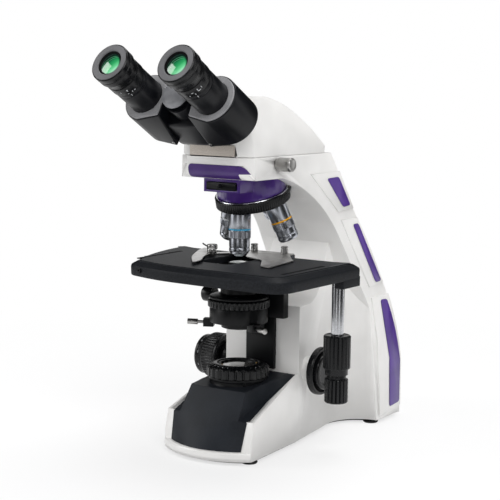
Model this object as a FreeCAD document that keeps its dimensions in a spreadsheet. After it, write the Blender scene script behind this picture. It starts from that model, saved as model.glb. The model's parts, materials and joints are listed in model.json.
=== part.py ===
import FreeCAD, Part
import math
import os
import Sketcher
from FreeCAD import Vector

# Binocular compound microscope, in millimetres, +Z up, the user on the -Y side.
# Every place below is measured from the optical axis at table level.
# axis_y then moves the whole instrument so that the origin lies under the middle of its outline.

SIZES = {
    # whole instrument
    "axis_y": -29.7,
    "seam_z": 288.6,
    "tilt": 17.0,
    "incline": 30.0,
    # casting
    "floor_z": 4.0,
    "base_front_x": 51.0,
    "base_front_y": -50.0,
    "base_bow": 20.0,
    "pillar_x": 44.0,
    "pillar_y": 42.0,
    "pillar_z": 139.0,
    "waist_x": 31.5,
    "waist_y": 122.0,
    "wing_x": 66.0,
    "wing_y": 163.0,
    "flank_radius": 38.0,
    "saddle_y": 66.0,
    "pad_rise": 1.5,
    "light_radius": 13.0,
    "dovetail_radius": 21.0,
    "dovetail_neck": 18.5,
    "dovetail_depth": 9.0,
    "bush_radius": 9.0,
    "bush_left_x": 44.2,
    "dial_x": 60.0,
    "dial_y": -5.0,
    "dial_z": 26.0,
    "panel_x": 46.0,
    "panel_depth": 13.0,
    "panel_z": 18.0,
    "panel_top_z": 46.0,
    "lock_thread": 3.0,
    "lock_z": 281.3,
    "rear_x": 62.0,
    "rear_y": 213.0,
    "side_x": 41.6,
    "nose_x": 28.0,
    "nose_y": -47.0,
    "nose_z": 267.5,
    "top_rear_y": 99.0,
    "casting_wall": 6.0,
    # base cover, plate and feet
    "lip_z": 12.6,
    "kink_z": 40.5,
    "deck_z": 61.0,
    "cover_back_z": 71.5,
    "cover_inset": 6.0,
    "cover_wall": 4.0,
    "crease_x": 30.0,
    "crease_y": -22.0,
    "panel_slope": 1.08,
    "plate_thickness": 2.0,
    "plate_inset": 3.0,
    "foot_radius": 8.0,
    "foot_depth": 2.0,
    # field lens
    "collar_radius": 25.2,
    "ring_seat_radius": 20.0,
    "field_ring_radius": 30.5,
    "field_ring_z": 73.0,
    "field_ring_depth": 9.5,
    "field_glass_radius": 13.6,
    "field_top_z": 85.5,
    # focus drive
    "focus_y": 60.0,
    "focus_z": 74.0,
    "focus_shaft_radius": 4.0,
    "coarse_bush": 8.95,
    "tension_radius": 17.0,
    "fine_right_radius": 18.0,
    "coarse_radius": 23.8,
    "coarse_left_x": 54.0,
    "coarse_left_depth": 19.5,
    "coarse_right_x": 55.5,
    "coarse_right_depth": 6.5,
    "fine_radius": 20.6,
    "fine_depth": 10.0,
    "fine_right_depth": 4.0,
    # guide and bracket
    "guide_x": 16.8,
    "guide_y": 38.0,
    "guide_foot_z": 74.0,
    "guide_head_z": 136.0,
    "bracket_x": 31.0,
    "bracket_y": 32.5,
    "bracket_back_y": 41.2,
    "bracket_z": 127.0,
    "running_gap": 0.3,
    "focus_travel": 18.0,
    "lower_z": 178.4,
    "rail_x": 9.0,
    "rail_y": 30.8,
    "lift_y": 36.8,
    "lift_z": 142.5,
    "lift_radius": 8.0,
    "lift_shaft_radius": 2.5,
    "centring_radius": 1.5,
    # stage
    "stage_top_z": 188.0,
    "stage_depth": 14.5,
    "stage_right_x": 110.0,
    "stage_front_x": -74.0,
    "stage_left_x": -108.0,
    "stage_front_y": -92.0,
    "stage_corner_y": -78.0,
    "stage_back_y": 46.0,
    "skirt_wall": 4.0,
    "top_plate": 5.0,
    "lower_plate": 4.0,
    "aperture_x": 19.0,
    "aperture_y": 44.0,
    "slot_x": 93.0,
    "slot_left_x": -77.0,
    "stage_corner": 24.0,
    "holder_plate": 1.1,
    # stage drive
    "drive_x": 88.5,
    "drive_y": 40.0,
    "drive_radius": 6.15,
    "drive_core": 4.5,
    "y_knob_radius": 13.3,
    "y_knob_top_z": 117.0,
    "y_knob_foot_z": 81.0,
    "x_knob_radius": 11.4,
    "x_knob_top_z": 74.7,
    "x_knob_foot_z": 50.4,
    "knob_neck_radius": 8.7,
    # condenser
    "condenser_radius": 28.5,
    "iris_ring_radius": 30.4,
    "condenser_foot_z": 126.0,
    "iris_ring_z": 141.0,
    "iris_ring_depth": 8.0,
    "condenser_top_z": 185.0,
    "condenser_neck": 18.0,
    "condenser_tip": 11.0,
    # nosepiece
    "shoulder_z": 233.7,
    "hole_circle": 24.5,
    "ring_radius": 37.0,
    "ring_depth": 11.0,
    "objective_radius": 10.8,
    "thread_radius": 8.2,
    "tip_z": 190.4,
    "plug_x": 17.0,
    "plug_z": 256.5,
    "plug_depth": 7.0,
    "nose_front_y": -31.0,
    "nose_depth": 13.5,
    # head
    "eye_y": -152.2,
    "eye_rise": 85.9,
    "eye_x": 36.7,
    "eyecup_radius": 18.8,
    "sleeve_radius": 16.7,
    "barrel_radius": 14.4,
    "housing_radius": 24.0,
    "housing_front": 61.0,
    "housing_rear": 104.0,
    "hinge_radius": 10.0,
    "hinge_eye": 14.5,
    "head_top_z": 345.0,
}

doc = FreeCAD.newDocument("Microscope")
sheet = doc.addObject("Spreadsheet::Sheet", "Sizes")
for row, (alias, number) in enumerate(SIZES.items(), start=1):
    sheet.set(f"A{row}", alias)
    sheet.set(f"B{row}", str(number))
    sheet.setAlias(f"B{row}", alias)
doc.recompute()


class Size:
    """A number together with the sheet formula that gives it."""

    def __init__(self, number, formula=None):
        self.number = float(number)
        self.formula = formula if formula else f"({number:.6f})"

    def join(self, other, sign, number):
        return Size(number, f"({self.formula} {sign} {other.formula})")

    def __add__(self, other):
        other = size(other)
        return self.join(other, "+", self.number + other.number)

    def __sub__(self, other):
        other = size(other)
        return self.join(other, "-", self.number - other.number)

    def __mul__(self, other):
        other = size(other)
        return self.join(other, "*", self.number * other.number)

    def __truediv__(self, other):
        other = size(other)
        return self.join(other, "/", self.number / other.number)

    def __radd__(self, other):
        return size(other) + self

    def __rsub__(self, other):
        return size(other) - self

    def __rmul__(self, other):
        return size(other) * self

    def __neg__(self):
        return Size(-self.number, f"(0 - {self.formula})")


def size(value):
    return value if isinstance(value, Size) else Size(value)


def sine(angle):
    return Size(math.sin(math.radians(angle.number)), f"sin({angle.formula})")


def cosine(angle):
    return Size(math.cos(math.radians(angle.number)), f"cos({angle.formula})")


def tangent(angle):
    return Size(math.tan(math.radians(angle.number)), f"tan({angle.formula})")


class Sheet:
    """Gives each alias of the sheet as a Size."""

    def __getattr__(self, alias):
        return Size(SIZES[alias], f"Sizes.{alias}")


S = Sheet()
X_AXIS, Y_AXIS, Z_AXIS = Vector(1, 0, 0), Vector(0, 1, 0), Vector(0, 0, 1)


def bind(thing, **values):
    for name, value in values.items():
        value = size(value)
        setattr(thing, name, value.number)
        thing.setExpression(name, value.formula)
    return thing


def place(thing, at=(0, 0, 0), axis=Z_AXIS, angle=0):
    """Puts an object at a place measured from the optical axis, turned about an axis."""
    x, y, z = size(at[0]), size(at[1]) + S.axis_y, size(at[2])
    angle = size(angle)
    turn = FreeCAD.Rotation(axis, angle.number)
    thing.Placement = FreeCAD.Placement(Vector(x.number, y.number, z.number), turn)
    for name, value in (("x", x), ("y", y), ("z", z)):
        thing.setExpression(f"Placement.Base.{name}", value.formula)
    return thing


def label(thing, name):
    thing.Label = name
    return thing


NODES = []


def node(thing, name):
    NODES.append(label(thing, name))
    return thing


def box(x0, x1, y0, y1, z0, z1, name="box"):
    thing = doc.addObject("Part::Box", name)
    bind(thing, Length=size(x1) - x0, Width=size(y1) - y0, Height=size(z1) - z0)
    return place(thing, (x0, y0, z0))


TURNS = {
    "+Z": (Z_AXIS, 0),
    "+X": (Y_AXIS, 90),
    "-X": (Y_AXIS, -90),
    "-Y": (X_AXIS, 90),
    "+Y": (X_AXIS, -90),
    "-Z": (X_AXIS, 180),
}


def cylinder(radius, length, at, way="+Z", name="cylinder"):
    thing = doc.addObject("Part::Cylinder", name)
    bind(thing, Radius=radius, Height=length)
    return place(thing, at, *TURNS[way])


def cone(radius, radius_end, length, at, way="+Z", name="cone"):
    thing = doc.addObject("Part::Cone", name)
    bind(thing, Radius1=radius, Radius2=radius_end, Height=length)
    return place(thing, at, *TURNS[way])


def fuse(*things, name="fuse"):
    thing = doc.addObject("Part::MultiFuse", name)
    thing.Shapes = list(things)
    thing.Refine = True
    return thing


def cut(base, *tools, name="cut"):
    thing = doc.addObject("Part::Cut", name)
    thing.Base = base
    thing.Tool = tools[0] if len(tools) == 1 else fuse(*tools)
    thing.Refine = True
    return thing


def common(*things, name="common"):
    thing = doc.addObject("Part::MultiCommon", name)
    thing.Shapes = list(things)
    thing.Refine = True
    return thing


def group(*things, name="group"):
    """Several like solids in one node."""
    thing = doc.addObject("Part::Compound", name)
    thing.Links = list(things)
    return thing


def arc_through(start, end, radius):
    """The minor arc from start to end; a positive radius bulges to the right of the chord."""
    chord = end - start
    half = chord.Length / 2
    reach = math.sqrt(max(radius * radius - half * half, 0))
    left = Vector(-chord.y, chord.x, 0).normalize()
    side = 1 if radius > 0 else -1
    centre = (start + end) * 0.5 + left * reach * side
    first, last = (start, end) if side > 0 else (end, start)
    begin = math.atan2(first.y - centre.y, first.x - centre.x)
    finish = math.atan2(last.y - centre.y, last.x - centre.x)
    if finish < begin:
        finish += 2 * math.pi
    return Part.ArcOfCircle(Part.Circle(centre, Z_AXIS, abs(radius)), begin, finish)


def draw(sketch, points):
    """Draws a closed outline and ties every corner and radius to the sheet."""
    corners = [(size(p[0]), size(p[1])) for p in points]
    flat = [Vector(x.number, y.number, 0) for x, y in corners]
    count = len(points)
    ends, rules, formulas = [], [], []
    for i, point in enumerate(points):
        following = flat[(i + 1) % count]
        if len(point) == 3:
            radius = size(point[2])
            sketch.addGeometry(arc_through(flat[i], following, radius.number), False)
            ends.append((1, 2) if radius.number > 0 else (2, 1))
        else:
            sketch.addGeometry(Part.LineSegment(flat[i], following), False)
            ends.append((1, 2))
    for i in range(count):
        rules.append(Sketcher.Constraint("Coincident", i, ends[i][1], (i + 1) % count, ends[(i + 1) % count][0]))
    for i, (x, y) in enumerate(corners):
        rules.append(Sketcher.Constraint("DistanceX", -1, 1, i, ends[i][0], x.number))
        formulas.append((len(rules) - 1, x.formula))
        rules.append(Sketcher.Constraint("DistanceY", -1, 1, i, ends[i][0], y.number))
        formulas.append((len(rules) - 1, y.formula))
    for i, point in enumerate(points):
        if len(point) == 3:
            radius = size(point[2])
            magnitude = radius if radius.number > 0 else -radius
            rules.append(Sketcher.Constraint("Radius", i, magnitude.number))
            formulas.append((len(rules) - 1, magnitude.formula))
    sketch.addConstraint(rules)
    for index, formula in formulas:
        sketch.setExpression(f"Constraints[{index}]", formula)


def plane_of(body, role):
    return next(part for part in body.Origin.OriginFeatures if part.Role == role)


def turned(name, profile, at=(0, 0, 0), axis=Z_AXIS, angle=0):
    """A body of revolution; the profile is radius against height along its own axis."""
    body = doc.addObject("PartDesign::Body", name)
    sketch = body.newObject("Sketcher::SketchObject", name + "_profile")
    sketch.AttachmentSupport = [(plane_of(body, "XZ_Plane"), "")]
    sketch.MapMode = "FlatFace"
    draw(sketch, profile)
    spin = body.newObject("PartDesign::Revolution", name + "_turned")
    spin.Profile = sketch
    spin.ReferenceAxis = (sketch, ["V_Axis"])
    spin.Angle = 360
    return place(body, at, axis, angle)


def padded(name, outline, z0, z1, at=(0, 0, 0), axis=Z_AXIS, angle=0):
    """A body whose flat outline is raised from one height to another."""
    body = doc.addObject("PartDesign::Body", name)
    sketch = body.newObject("Sketcher::SketchObject", name + "_outline")
    sketch.AttachmentSupport = [(plane_of(body, "XY_Plane"), "")]
    sketch.MapMode = "FlatFace"
    z0, z1 = size(z0), size(z1)
    sketch.AttachmentOffset = FreeCAD.Placement(Vector(0, 0, z0.number), FreeCAD.Rotation())
    sketch.setExpression("AttachmentOffset.Base.z", z0.formula)
    draw(sketch, outline)
    pad = body.newObject("PartDesign::Pad", name + "_pad")
    pad.Profile = sketch
    bind(pad, Length=z1 - z0)
    return place(body, at, axis, angle)


def side_slab(name, outline, half_width):
    """A slab with a side-view outline (Y against Z), as wide on both sides of the middle."""
    half_width = size(half_width)
    rail = doc.addObject("Sketcher::SketchObject", name + "_side")
    draw(rail, outline)
    turn = FreeCAD.Rotation(Vector(1, 1, 1), 120)
    rail.Placement = FreeCAD.Placement(Vector(0, S.axis_y.number, 0), turn)
    rail.setExpression("Placement.Base.y", S.axis_y.formula)
    slab = doc.addObject("Part::Extrusion", name)
    slab.Base = rail
    slab.DirMode = "Custom"
    slab.Dir = X_AXIS
    slab.Solid = True
    bind(slab, LengthFwd=half_width, LengthRev=half_width)
    return slab


def front_slab(name, outline, y0, y1):
    """A slab with a front-view outline (X against Z) that runs from y0 to y1."""
    y0, y1 = size(y0), size(y1)
    rail = doc.addObject("Sketcher::SketchObject", name + "_front")
    draw(rail, outline)
    start = y0 + S.axis_y
    rail.Placement = FreeCAD.Placement(Vector(0, start.number, 0), FreeCAD.Rotation(X_AXIS, 90))
    rail.setExpression("Placement.Base.y", start.formula)
    slab = doc.addObject("Part::Extrusion", name)
    slab.Base = rail
    slab.DirMode = "Custom"
    slab.Dir = Y_AXIS
    slab.Solid = True
    bind(slab, LengthFwd=y1 - y0)
    return slab


def mirrored(points):
    """Adds the left-hand half to a right-hand outline that runs from the front to the back."""
    left = []
    for i in range(len(points) - 1, -1, -1):
        x, y = size(points[i][0]), size(points[i][1])
        if i and len(points[i - 1]) == 3:
            left.append((-x, y, points[i - 1][2]))
        else:
            left.append((-x, y))
    return list(points) + left


def rounded(base, radius, test, name="rounded"):
    """Rounds the edges of a finished shape that pass a test on their middle point and direction."""
    doc.recompute()
    radius = size(radius)
    thing = doc.addObject("Part::Fillet", name)
    thing.Base = base
    picked = []
    for index, edge in enumerate(base.Shape.Edges, start=1):
        middle = edge.valueAt((edge.FirstParameter + edge.LastParameter) / 2)
        middle = middle - Vector(0, S.axis_y.number, 0)
        run = edge.valueAt(edge.LastParameter) - edge.valueAt(edge.FirstParameter)
        if test(middle, run, edge):
            picked.append((index, radius.number, radius.number))
    thing.Edges = picked
    return thing


# Casting: an hourglass base, a pillar that carries the focus drive, and a curved arm

BOW_RADIUS = (S.base_front_x * S.base_front_x + S.base_bow * S.base_bow) / (S.base_bow * 2)


def base_plan(name, inset, z0, z1):
    """The base's plan, drawn in by an inset and raised from one height to another."""
    inset = size(inset)
    points = mirrored([
        (S.base_front_x - inset, S.base_front_y + inset),
        (S.pillar_x - inset, S.pillar_y),
        (S.waist_x - inset, S.waist_y, -(S.flank_radius + inset)),
        (S.wing_x - inset, S.wing_y + inset),
        (S.rear_x - inset, S.rear_y - inset, 400.0),
    ])
    points[-1] = (points[-1][0], points[-1][1], BOW_RADIUS)
    return padded(name, points, z0, z1)


SIDE_SLOPE = (S.wing_x - S.side_x) / (S.seam_z - S.floor_z)


def side_band(name, inner, outer):
    """Both slanted side faces of the arm as thin bands that stand from inner to outer off the face."""
    inner, outer = size(inner), size(outer)
    right = front_slab(name + "_right", [
        (S.wing_x + inner, S.floor_z), (S.wing_x + outer, S.floor_z),
        (S.side_x + outer, S.seam_z), (S.side_x + inner, S.seam_z),
    ], S.nose_y, S.rear_y + 20)
    left = front_slab(name + "_left", [
        (-S.wing_x - outer, S.floor_z), (-S.wing_x - inner, S.floor_z),
        (-S.side_x - inner, S.seam_z), (-S.side_x - outer, S.seam_z),
    ], S.nose_y, S.rear_y + 20)
    return fuse(right, left, name=name)


# side view of the parts in the middle: lip, sloping top, pillar and the saddle above it
centre_side = side_slab("centre", [
    (S.base_front_y - S.base_bow - 5, S.floor_z),
    (S.wing_y + 8, S.floor_z), (S.wing_y + 8, S.pillar_z - 20),
    (S.wing_y - 12, S.pillar_z), (S.saddle_y + 46, S.pillar_z + 57),
    (S.saddle_y + 26, S.pillar_z + 18, -27.8), (S.saddle_y, S.pillar_z),
    (S.pillar_y, S.pillar_z), (S.pillar_y, S.cover_back_z),
    (S.pillar_y - 6, S.cover_back_z), (S.base_front_y + 4, S.kink_z),
    (S.base_front_y - 2.5, S.lip_z), (S.base_front_y - S.base_bow - 5, S.lip_z),
], S.wing_x)
centre = common(base_plan("base_plan", 0, S.floor_z, S.pillar_z + 60), centre_side)

# side view of the arm: foot, back, top, nose and the inner sweep
arm_side = side_slab("arm_side", [
    (S.wing_y + 1, S.floor_z), (S.rear_y, S.floor_z),
    (S.rear_y + 7.5, S.floor_z + 54, 186.0), (S.top_rear_y + 91, S.seam_z - 138.6, 380.0),
    (S.top_rear_y + 43, S.seam_z - 66), (S.top_rear_y, S.seam_z), (S.nose_y, S.seam_z),
    (S.nose_y, S.nose_z + 9, 9.0), (S.nose_y + 9, S.nose_z),
    (8, S.nose_z, -160.0), (110, S.nose_z - 69.5),
    (150, S.nose_z - 127.5, -104.7), (S.wing_y + 8, S.nose_z - 197.5),
], S.wing_x + 5)
trapezoid = front_slab("trapezoid", [
    (-S.wing_x, S.floor_z), (S.wing_x, S.floor_z), (S.side_x, S.seam_z), (-S.side_x, S.seam_z),
], S.base_front_y - S.base_bow - 10, S.rear_y + 20)
body = common(fuse(centre, arm_side), trapezoid, name="body")

# corners of the nose
corner = [(S.nose_x, S.nose_y - 1), (S.side_x + 6, S.nose_y - 1), (S.side_x + 6, S.nose_y + 14)]
right_corner = padded("right_corner", corner, S.nose_z - 10, S.seam_z + 1)
left_corner = padded("left_corner", [(-x, y) for x, y in reversed(corner)], S.nose_z - 10, S.seam_z + 1)

# hollows: under the cover, inside the pillar and arm, and the light path
cover_well = common(
    base_plan("cover_well_plan", S.cover_inset, S.floor_z - 1, S.cover_back_z + 10),
    box(-S.wing_x, S.wing_x, S.base_front_y - S.base_bow, S.pillar_y - 6, S.floor_z - 1, S.cover_back_z + 10),
)
arm_hollow = side_slab("arm_hollow", [
    (S.pillar_y + 7, S.floor_z - 1), (S.rear_y - 9, S.floor_z - 1),
    (S.rear_y - 1, S.floor_z + 54, 178.0), (S.top_rear_y + 79, S.seam_z - 125),
    (S.top_rear_y - 4, S.seam_z - 12), (28, S.seam_z - 12),
    (28, S.seam_z - 16, -167.0), (114, S.nose_z - 62),
    (S.saddle_y + 52, S.pillar_z + 55), (S.saddle_y + 30, S.pillar_z + 12),
    (S.saddle_y + 4, S.pillar_z - 7), (S.pillar_y + 7, S.pillar_z - 7),
], S.waist_x - S.casting_wall)
light_path = cylinder(S.light_radius, 40, (0, 0, S.nose_z - 10))
dovetail_seat = cone(
    S.dovetail_radius + S.running_gap, S.dovetail_neck + S.running_gap, S.dovetail_depth + 0.6,
    (0, 0, S.seam_z - S.dovetail_depth - 0.5),
)
focus_bore = cylinder(S.bush_radius, S.wing_x * 2, (-S.wing_x, S.focus_y, S.focus_z), "+X")
left_boss = cylinder(13.0, 12, (-S.bush_left_x, S.focus_y, S.focus_z), "+X")
right_boss = cylinder(12.0, S.coarse_right_x - S.running_gap - 36, (36, S.focus_y, S.focus_z), "+X")
dial_bore = cylinder(3.3, 20, (-S.dial_x, S.dial_y, S.dial_z), "+X")
PANEL_BACK = S.rear_y - S.panel_depth
panel_pocket = box(-S.panel_x, S.panel_x, PANEL_BACK, S.rear_y + 20, S.panel_z, S.panel_top_z)
screw_bore = cylinder(S.lock_thread + 0.05, 30, (S.dovetail_radius - 3, 0, S.lock_z), "+X")

fascia_front = [
    (-S.nose_x - 15, S.nose_z - 1), (S.nose_x + 15, S.nose_z - 1),
    (S.nose_x + 10, S.nose_z + 9), (S.nose_x + 5, S.seam_z - 7.5),
    (-S.nose_x - 5, S.seam_z - 7.5), (-S.nose_x - 10, S.nose_z + 9),
]
fascia_pocket = front_slab("fascia_pocket", fascia_front, S.nose_y - 2, S.nose_y + 10)

turret_room = turned("turret_room", [
    (0, -6), (S.ring_radius + 1.5, -6), (S.ring_radius + 1.5, S.ring_depth + 1.4), (0, S.ring_depth + 1.4),
])
place(turret_room, (
    0, S.hole_circle * cosine(S.tilt), S.shoulder_z + S.hole_circle * sine(S.tilt),
), X_AXIS, S.tilt)
bossed = fuse(body, left_boss, right_boss)
shell = cut(bossed, right_corner, left_corner, cover_well, arm_hollow, light_path, dovetail_seat,
            focus_bore, screw_bore, fascia_pocket, dial_bore, panel_pocket, turret_room, name="shell")

# raised pads along the rear edge of each side
pad_views = fuse(
    side_slab("pad_top", [(58, 268.5), (112, 269.5), (136, 230.5), (106, 228.5)], S.wing_x + 5),
    side_slab("pad_middle", [(111, 219.5), (143, 220), (190, 148), (161, 145.5)], S.wing_x + 5),
    side_slab("pad_low", [
        (169, 8), (214, 12), (221, 58, 186.0), (200, 134.5), (164, 134), (172, 90),
    ], S.wing_x + 5),
)
pads = common(pad_views, side_band("pad_band", 0, S.pad_rise), name="pads")
node(fuse(shell, pads, name="casting"), "arm_casting")

inlay_views = fuse(
    side_slab("inlay_top", [(86, 263.2), (109, 264), (129, 234), (114.5, 232.8)], S.wing_x + 5),
    side_slab("inlay_middle", [(132, 214), (143, 214.3), (185, 150.2), (173, 149.3)], S.wing_x + 5),
    side_slab("inlay_low", [
        (189, 14), (211, 16), (217.5, 60, 175.0), (195, 129.5), (181.5, 130), (194.5, 66),
    ], S.wing_x + 5),
)
node(common(inlay_views, side_band("inlay_band", S.pad_rise, S.pad_rise + 0.8), name="inlays"), "side_inlays")

# Base cover: a sloping deck that falls to a bowed front panel, with a facet down each side


def cover_side(name, drop, half_width):
    """Side view of the cover's top: front panel, crease and deck, lowered by a drop."""
    drop = size(drop)
    return side_slab(name, [
        (S.base_front_y - S.base_bow, S.floor_z + 1), (S.pillar_y - 6, S.floor_z + 1),
        (S.pillar_y - 6, S.cover_back_z - drop), (S.crease_y, S.deck_z - drop),
        (S.base_front_y - S.base_bow, S.deck_z - drop - (S.crease_y - S.base_front_y + S.base_bow) * S.panel_slope),
    ], half_width)


def facet(name, side, drop):
    """A half space above one side facet; side is 1 for right and -1 for left."""
    normal = Vector(0.683 * side, -0.242, 0.689)
    axis = Vector(0.242, 0.683 * side, 0)
    block = doc.addObject("Part::Box", name)
    bind(block, Length=120, Width=180, Height=40)
    turn = FreeCAD.Rotation(axis, math.degrees(math.acos(normal.z / normal.Length)))
    corner = turn.multVec(Vector(-60, -90, 0))
    at = (S.crease_x * side + corner.x, S.crease_y + corner.y, S.deck_z - size(drop) + corner.z)
    return place(block, at, axis, turn.Angle * 180 / math.pi)


cover_block = common(
    base_plan("cover_plan", S.cover_inset + 0.2, S.floor_z, S.cover_back_z + 8),
    cover_side("cover_top", 0, S.wing_x),
)
cover_block = cut(cover_block, facet("facet_right", 1, 0), facet("facet_left", -1, 0))
cover_room = common(
    base_plan("cover_room_plan", S.cover_inset + S.cover_wall, S.floor_z - 1, S.cover_back_z + 8),
    cover_side("cover_room_top", S.cover_wall, S.wing_x),
)
cover_room = cut(cover_room, facet("room_facet_right", 1, S.cover_wall), facet("room_facet_left", -1, S.cover_wall))
collar_bore = cylinder(S.collar_radius, 60, (0, 0, S.deck_z - 20))
node(cut(cover_block, cover_room, collar_bore, name="cover"), "base_cover")

node(base_plan("plate", S.plate_inset, S.floor_z - S.plate_thickness, S.floor_z), "bottom_plate")

foot_places = [(42, -40), (-42, -40), (56, 168), (-56, 168)]
feet = [
    turned("foot", [
        (0, 0), (S.foot_radius - 1, 0), (S.foot_radius, 1),
        (S.foot_radius, S.foot_depth), (0, S.foot_depth),
    ], (x, y, 0))
    for x, y in foot_places
]
node(group(*feet, name="four_feet"), "feet")

# Field lens: collar in the cover, scalloped ring round it, glass on top

collar = turned("collar", [
    (S.field_glass_radius - 1.5, S.deck_z - 9), (S.collar_radius, S.deck_z - 9),
    (S.collar_radius, S.field_ring_z - S.running_gap), (S.ring_seat_radius, S.field_ring_z - S.running_gap),
    (S.ring_seat_radius, S.field_top_z - 1), (S.field_glass_radius, S.field_top_z - 1),
    (S.field_glass_radius, S.field_top_z - 4), (S.field_glass_radius - 1.5, S.field_top_z - 4),
])
node(collar, "field_collar")
node(turned("glass", [
    (0, S.field_top_z - 4), (S.field_glass_radius, S.field_top_z - 4),
    (S.field_glass_radius, S.field_top_z), (0, S.field_top_z + 1),
]), "field_glass")


def notched(body, pitch_radius, notch_radius, z0, z1, count):
    """Cuts round notches down the rim of a turned body and repeats them about its axis."""
    sketch = body.newObject("Sketcher::SketchObject", body.Name + "_notch")
    sketch.AttachmentSupport = [(plane_of(body, "XY_Plane"), "")]
    sketch.MapMode = "FlatFace"
    top = size(z1)
    sketch.AttachmentOffset = FreeCAD.Placement(Vector(0, 0, top.number), FreeCAD.Rotation())
    sketch.setExpression("AttachmentOffset.Base.z", top.formula)
    pitch_radius, notch_radius = size(pitch_radius), size(notch_radius)
    sketch.addGeometry(Part.Circle(Vector(pitch_radius.number, 0, 0), Z_AXIS, notch_radius.number), False)
    sketch.addConstraint([
        Sketcher.Constraint("PointOnObject", 0, 3, -1),
        Sketcher.Constraint("DistanceX", -1, 1, 0, 3, pitch_radius.number),
        Sketcher.Constraint("Radius", 0, notch_radius.number),
    ])
    sketch.setExpression("Constraints[1]", pitch_radius.formula)
    sketch.setExpression("Constraints[2]", notch_radius.formula)
    notch = body.newObject("PartDesign::Pocket", body.Name + "_notch_cut")
    notch.Profile = sketch
    bind(notch, Length=top - z0)
    doc.recompute()
    pattern = body.newObject("PartDesign::PolarPattern", body.Name + "_notches")
    pattern.Originals = [notch]
    pattern.Axis = (sketch, ["N_Axis"])
    pattern.Angle = 360
    pattern.Occurrences = count
    body.Tip = pattern
    return body


field_ring = turned("field_ring_body", [
    (S.ring_seat_radius + S.running_gap, S.field_ring_z), (S.field_ring_radius, S.field_ring_z),
    (S.field_ring_radius, S.field_ring_z + S.field_ring_depth), (S.ring_seat_radius + 2, S.field_top_z),
    (S.ring_seat_radius + S.running_gap, S.field_top_z),
])
notched(field_ring, S.field_ring_radius + 1.2, 2.6, S.field_ring_z - 0.5, S.field_ring_z + S.field_ring_depth + 4, 24)
node(field_ring, "field_ring")

node(turned("lamp", [
    (0, S.floor_z), (20, S.floor_z), (20, S.floor_z + 16), (11, S.floor_z + 20),
    (11, S.floor_z + 34), (6, S.floor_z + 38), (0, S.floor_z + 38),
]), "lamp_module")

# Brightness dial in the left wall, and the rear panel with its switch and mains inlet

dial = turned("dial", [
    (0, -5), (3.0, -5), (3.0, 0), (9.0, 0), (9.0, 7.5), (8.0, 8.5), (0, 8.5),
], (-S.dial_x + 10.7, S.dial_y, S.dial_z), Y_AXIS, -90)
node(dial, "brightness_dial")

PANEL_FRONT = S.rear_y + 2
rear_panel = box(-S.panel_x, S.panel_x, PANEL_BACK, PANEL_FRONT, S.panel_z, S.panel_top_z, "panel")
rocker_window = box(20, 40, PANEL_FRONT - 12, PANEL_FRONT + 1, 25.5, 38.5)
inlet_well = box(-38, -12, PANEL_FRONT - 12, PANEL_FRONT + 1, 22, 42)
blades = [cylinder(1.6, 8, (x, PANEL_FRONT - 12.5, z), "+Y") for x, z in ((-32, 29), (-18, 29), (-25, 36))]
node(fuse(cut(rear_panel, rocker_window, inlet_well), *blades, name="rear"), "rear_panel")

rocker = side_slab("rocker_profile", [
    (PANEL_FRONT - 7, 29.5), (PANEL_FRONT - 1.5, 26.2), (PANEL_FRONT + 1.4, 26.2),
    (PANEL_FRONT + 0.2, 32), (PANEL_FRONT + 1.4, 37.8), (PANEL_FRONT - 1.5, 37.8), (PANEL_FRONT - 7, 34.5),
], 45)
rocker = common(rocker, box(20.4, 39.6, PANEL_FRONT - 12, PANEL_FRONT + 5, 24, 40), name="rocker_key")
node(rocker, "power_rocker")

# Focus drive: fine shaft inside the coarse shaft, with a knob of each on both sides

coarse_left_end = S.coarse_left_x + S.coarse_left_depth
coarse_right_end = S.coarse_right_x + S.coarse_right_depth


def across(name, profile, x):
    """A turned piece on the focus axis; its own height runs towards +X from a start."""
    return turned(name, profile, (x, S.focus_y, S.focus_z), Y_AXIS, 90)


node(across("coarse_left", [
    (S.coarse_bush, 0), (S.coarse_radius - 1.5, 0), (S.coarse_radius, 1.5),
    (S.coarse_radius, S.coarse_left_depth), (S.coarse_bush, S.coarse_left_depth),
], -coarse_left_end), "coarse_knob_left")
node(across("coarse_right", [
    (S.focus_shaft_radius, 0), (S.coarse_bush, 0), (S.coarse_bush, coarse_left_end + S.coarse_right_x),
    (S.coarse_radius, coarse_left_end + S.coarse_right_x), (S.coarse_radius, coarse_left_end + coarse_right_end),
    (S.coarse_radius - 1.5, coarse_left_end + coarse_right_end),
    (S.fine_right_radius + 0.8, coarse_left_end + coarse_right_end - 2.5),
    (S.focus_shaft_radius, coarse_left_end + coarse_right_end - 2.5),
], -coarse_left_end), "coarse_knob_right")
fine_run = coarse_left_end + coarse_right_end + S.running_gap * 2
node(across("fine_left", [
    (0, 0), (S.fine_radius - 1.5, 0), (S.fine_radius, 1.5), (S.fine_radius, S.fine_depth),
    (S.focus_shaft_radius - 0.05, S.fine_depth), (S.focus_shaft_radius - 0.05, S.fine_depth + fine_run - 2.5),
    (0, S.fine_depth + fine_run - 2.5),
], -coarse_left_end - S.running_gap - S.fine_depth), "fine_knob_left")
node(across("fine_right", [
    (0, 0), (S.fine_right_radius, 0), (S.fine_right_radius, S.fine_right_depth + 1),
    (S.fine_right_radius - 1.5, S.fine_right_depth + 2.5), (0, S.fine_right_depth + 2.5),
], coarse_right_end - 2.5 + S.running_gap), "fine_knob_right")
node(across("tension", [
    (S.coarse_bush + S.running_gap, 0), (S.tension_radius, 0), (S.tension_radius, 8.9),
    (S.coarse_bush + S.running_gap, 8.9),
], -S.coarse_left_x + S.running_gap), "tension_ring")

# Guide on the pillar, and the bracket that rides on it with the stage

node(box(-S.guide_x, S.guide_x, S.guide_y, S.pillar_y, S.guide_foot_z, S.guide_head_z, "guide"), "focus_guide")

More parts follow.
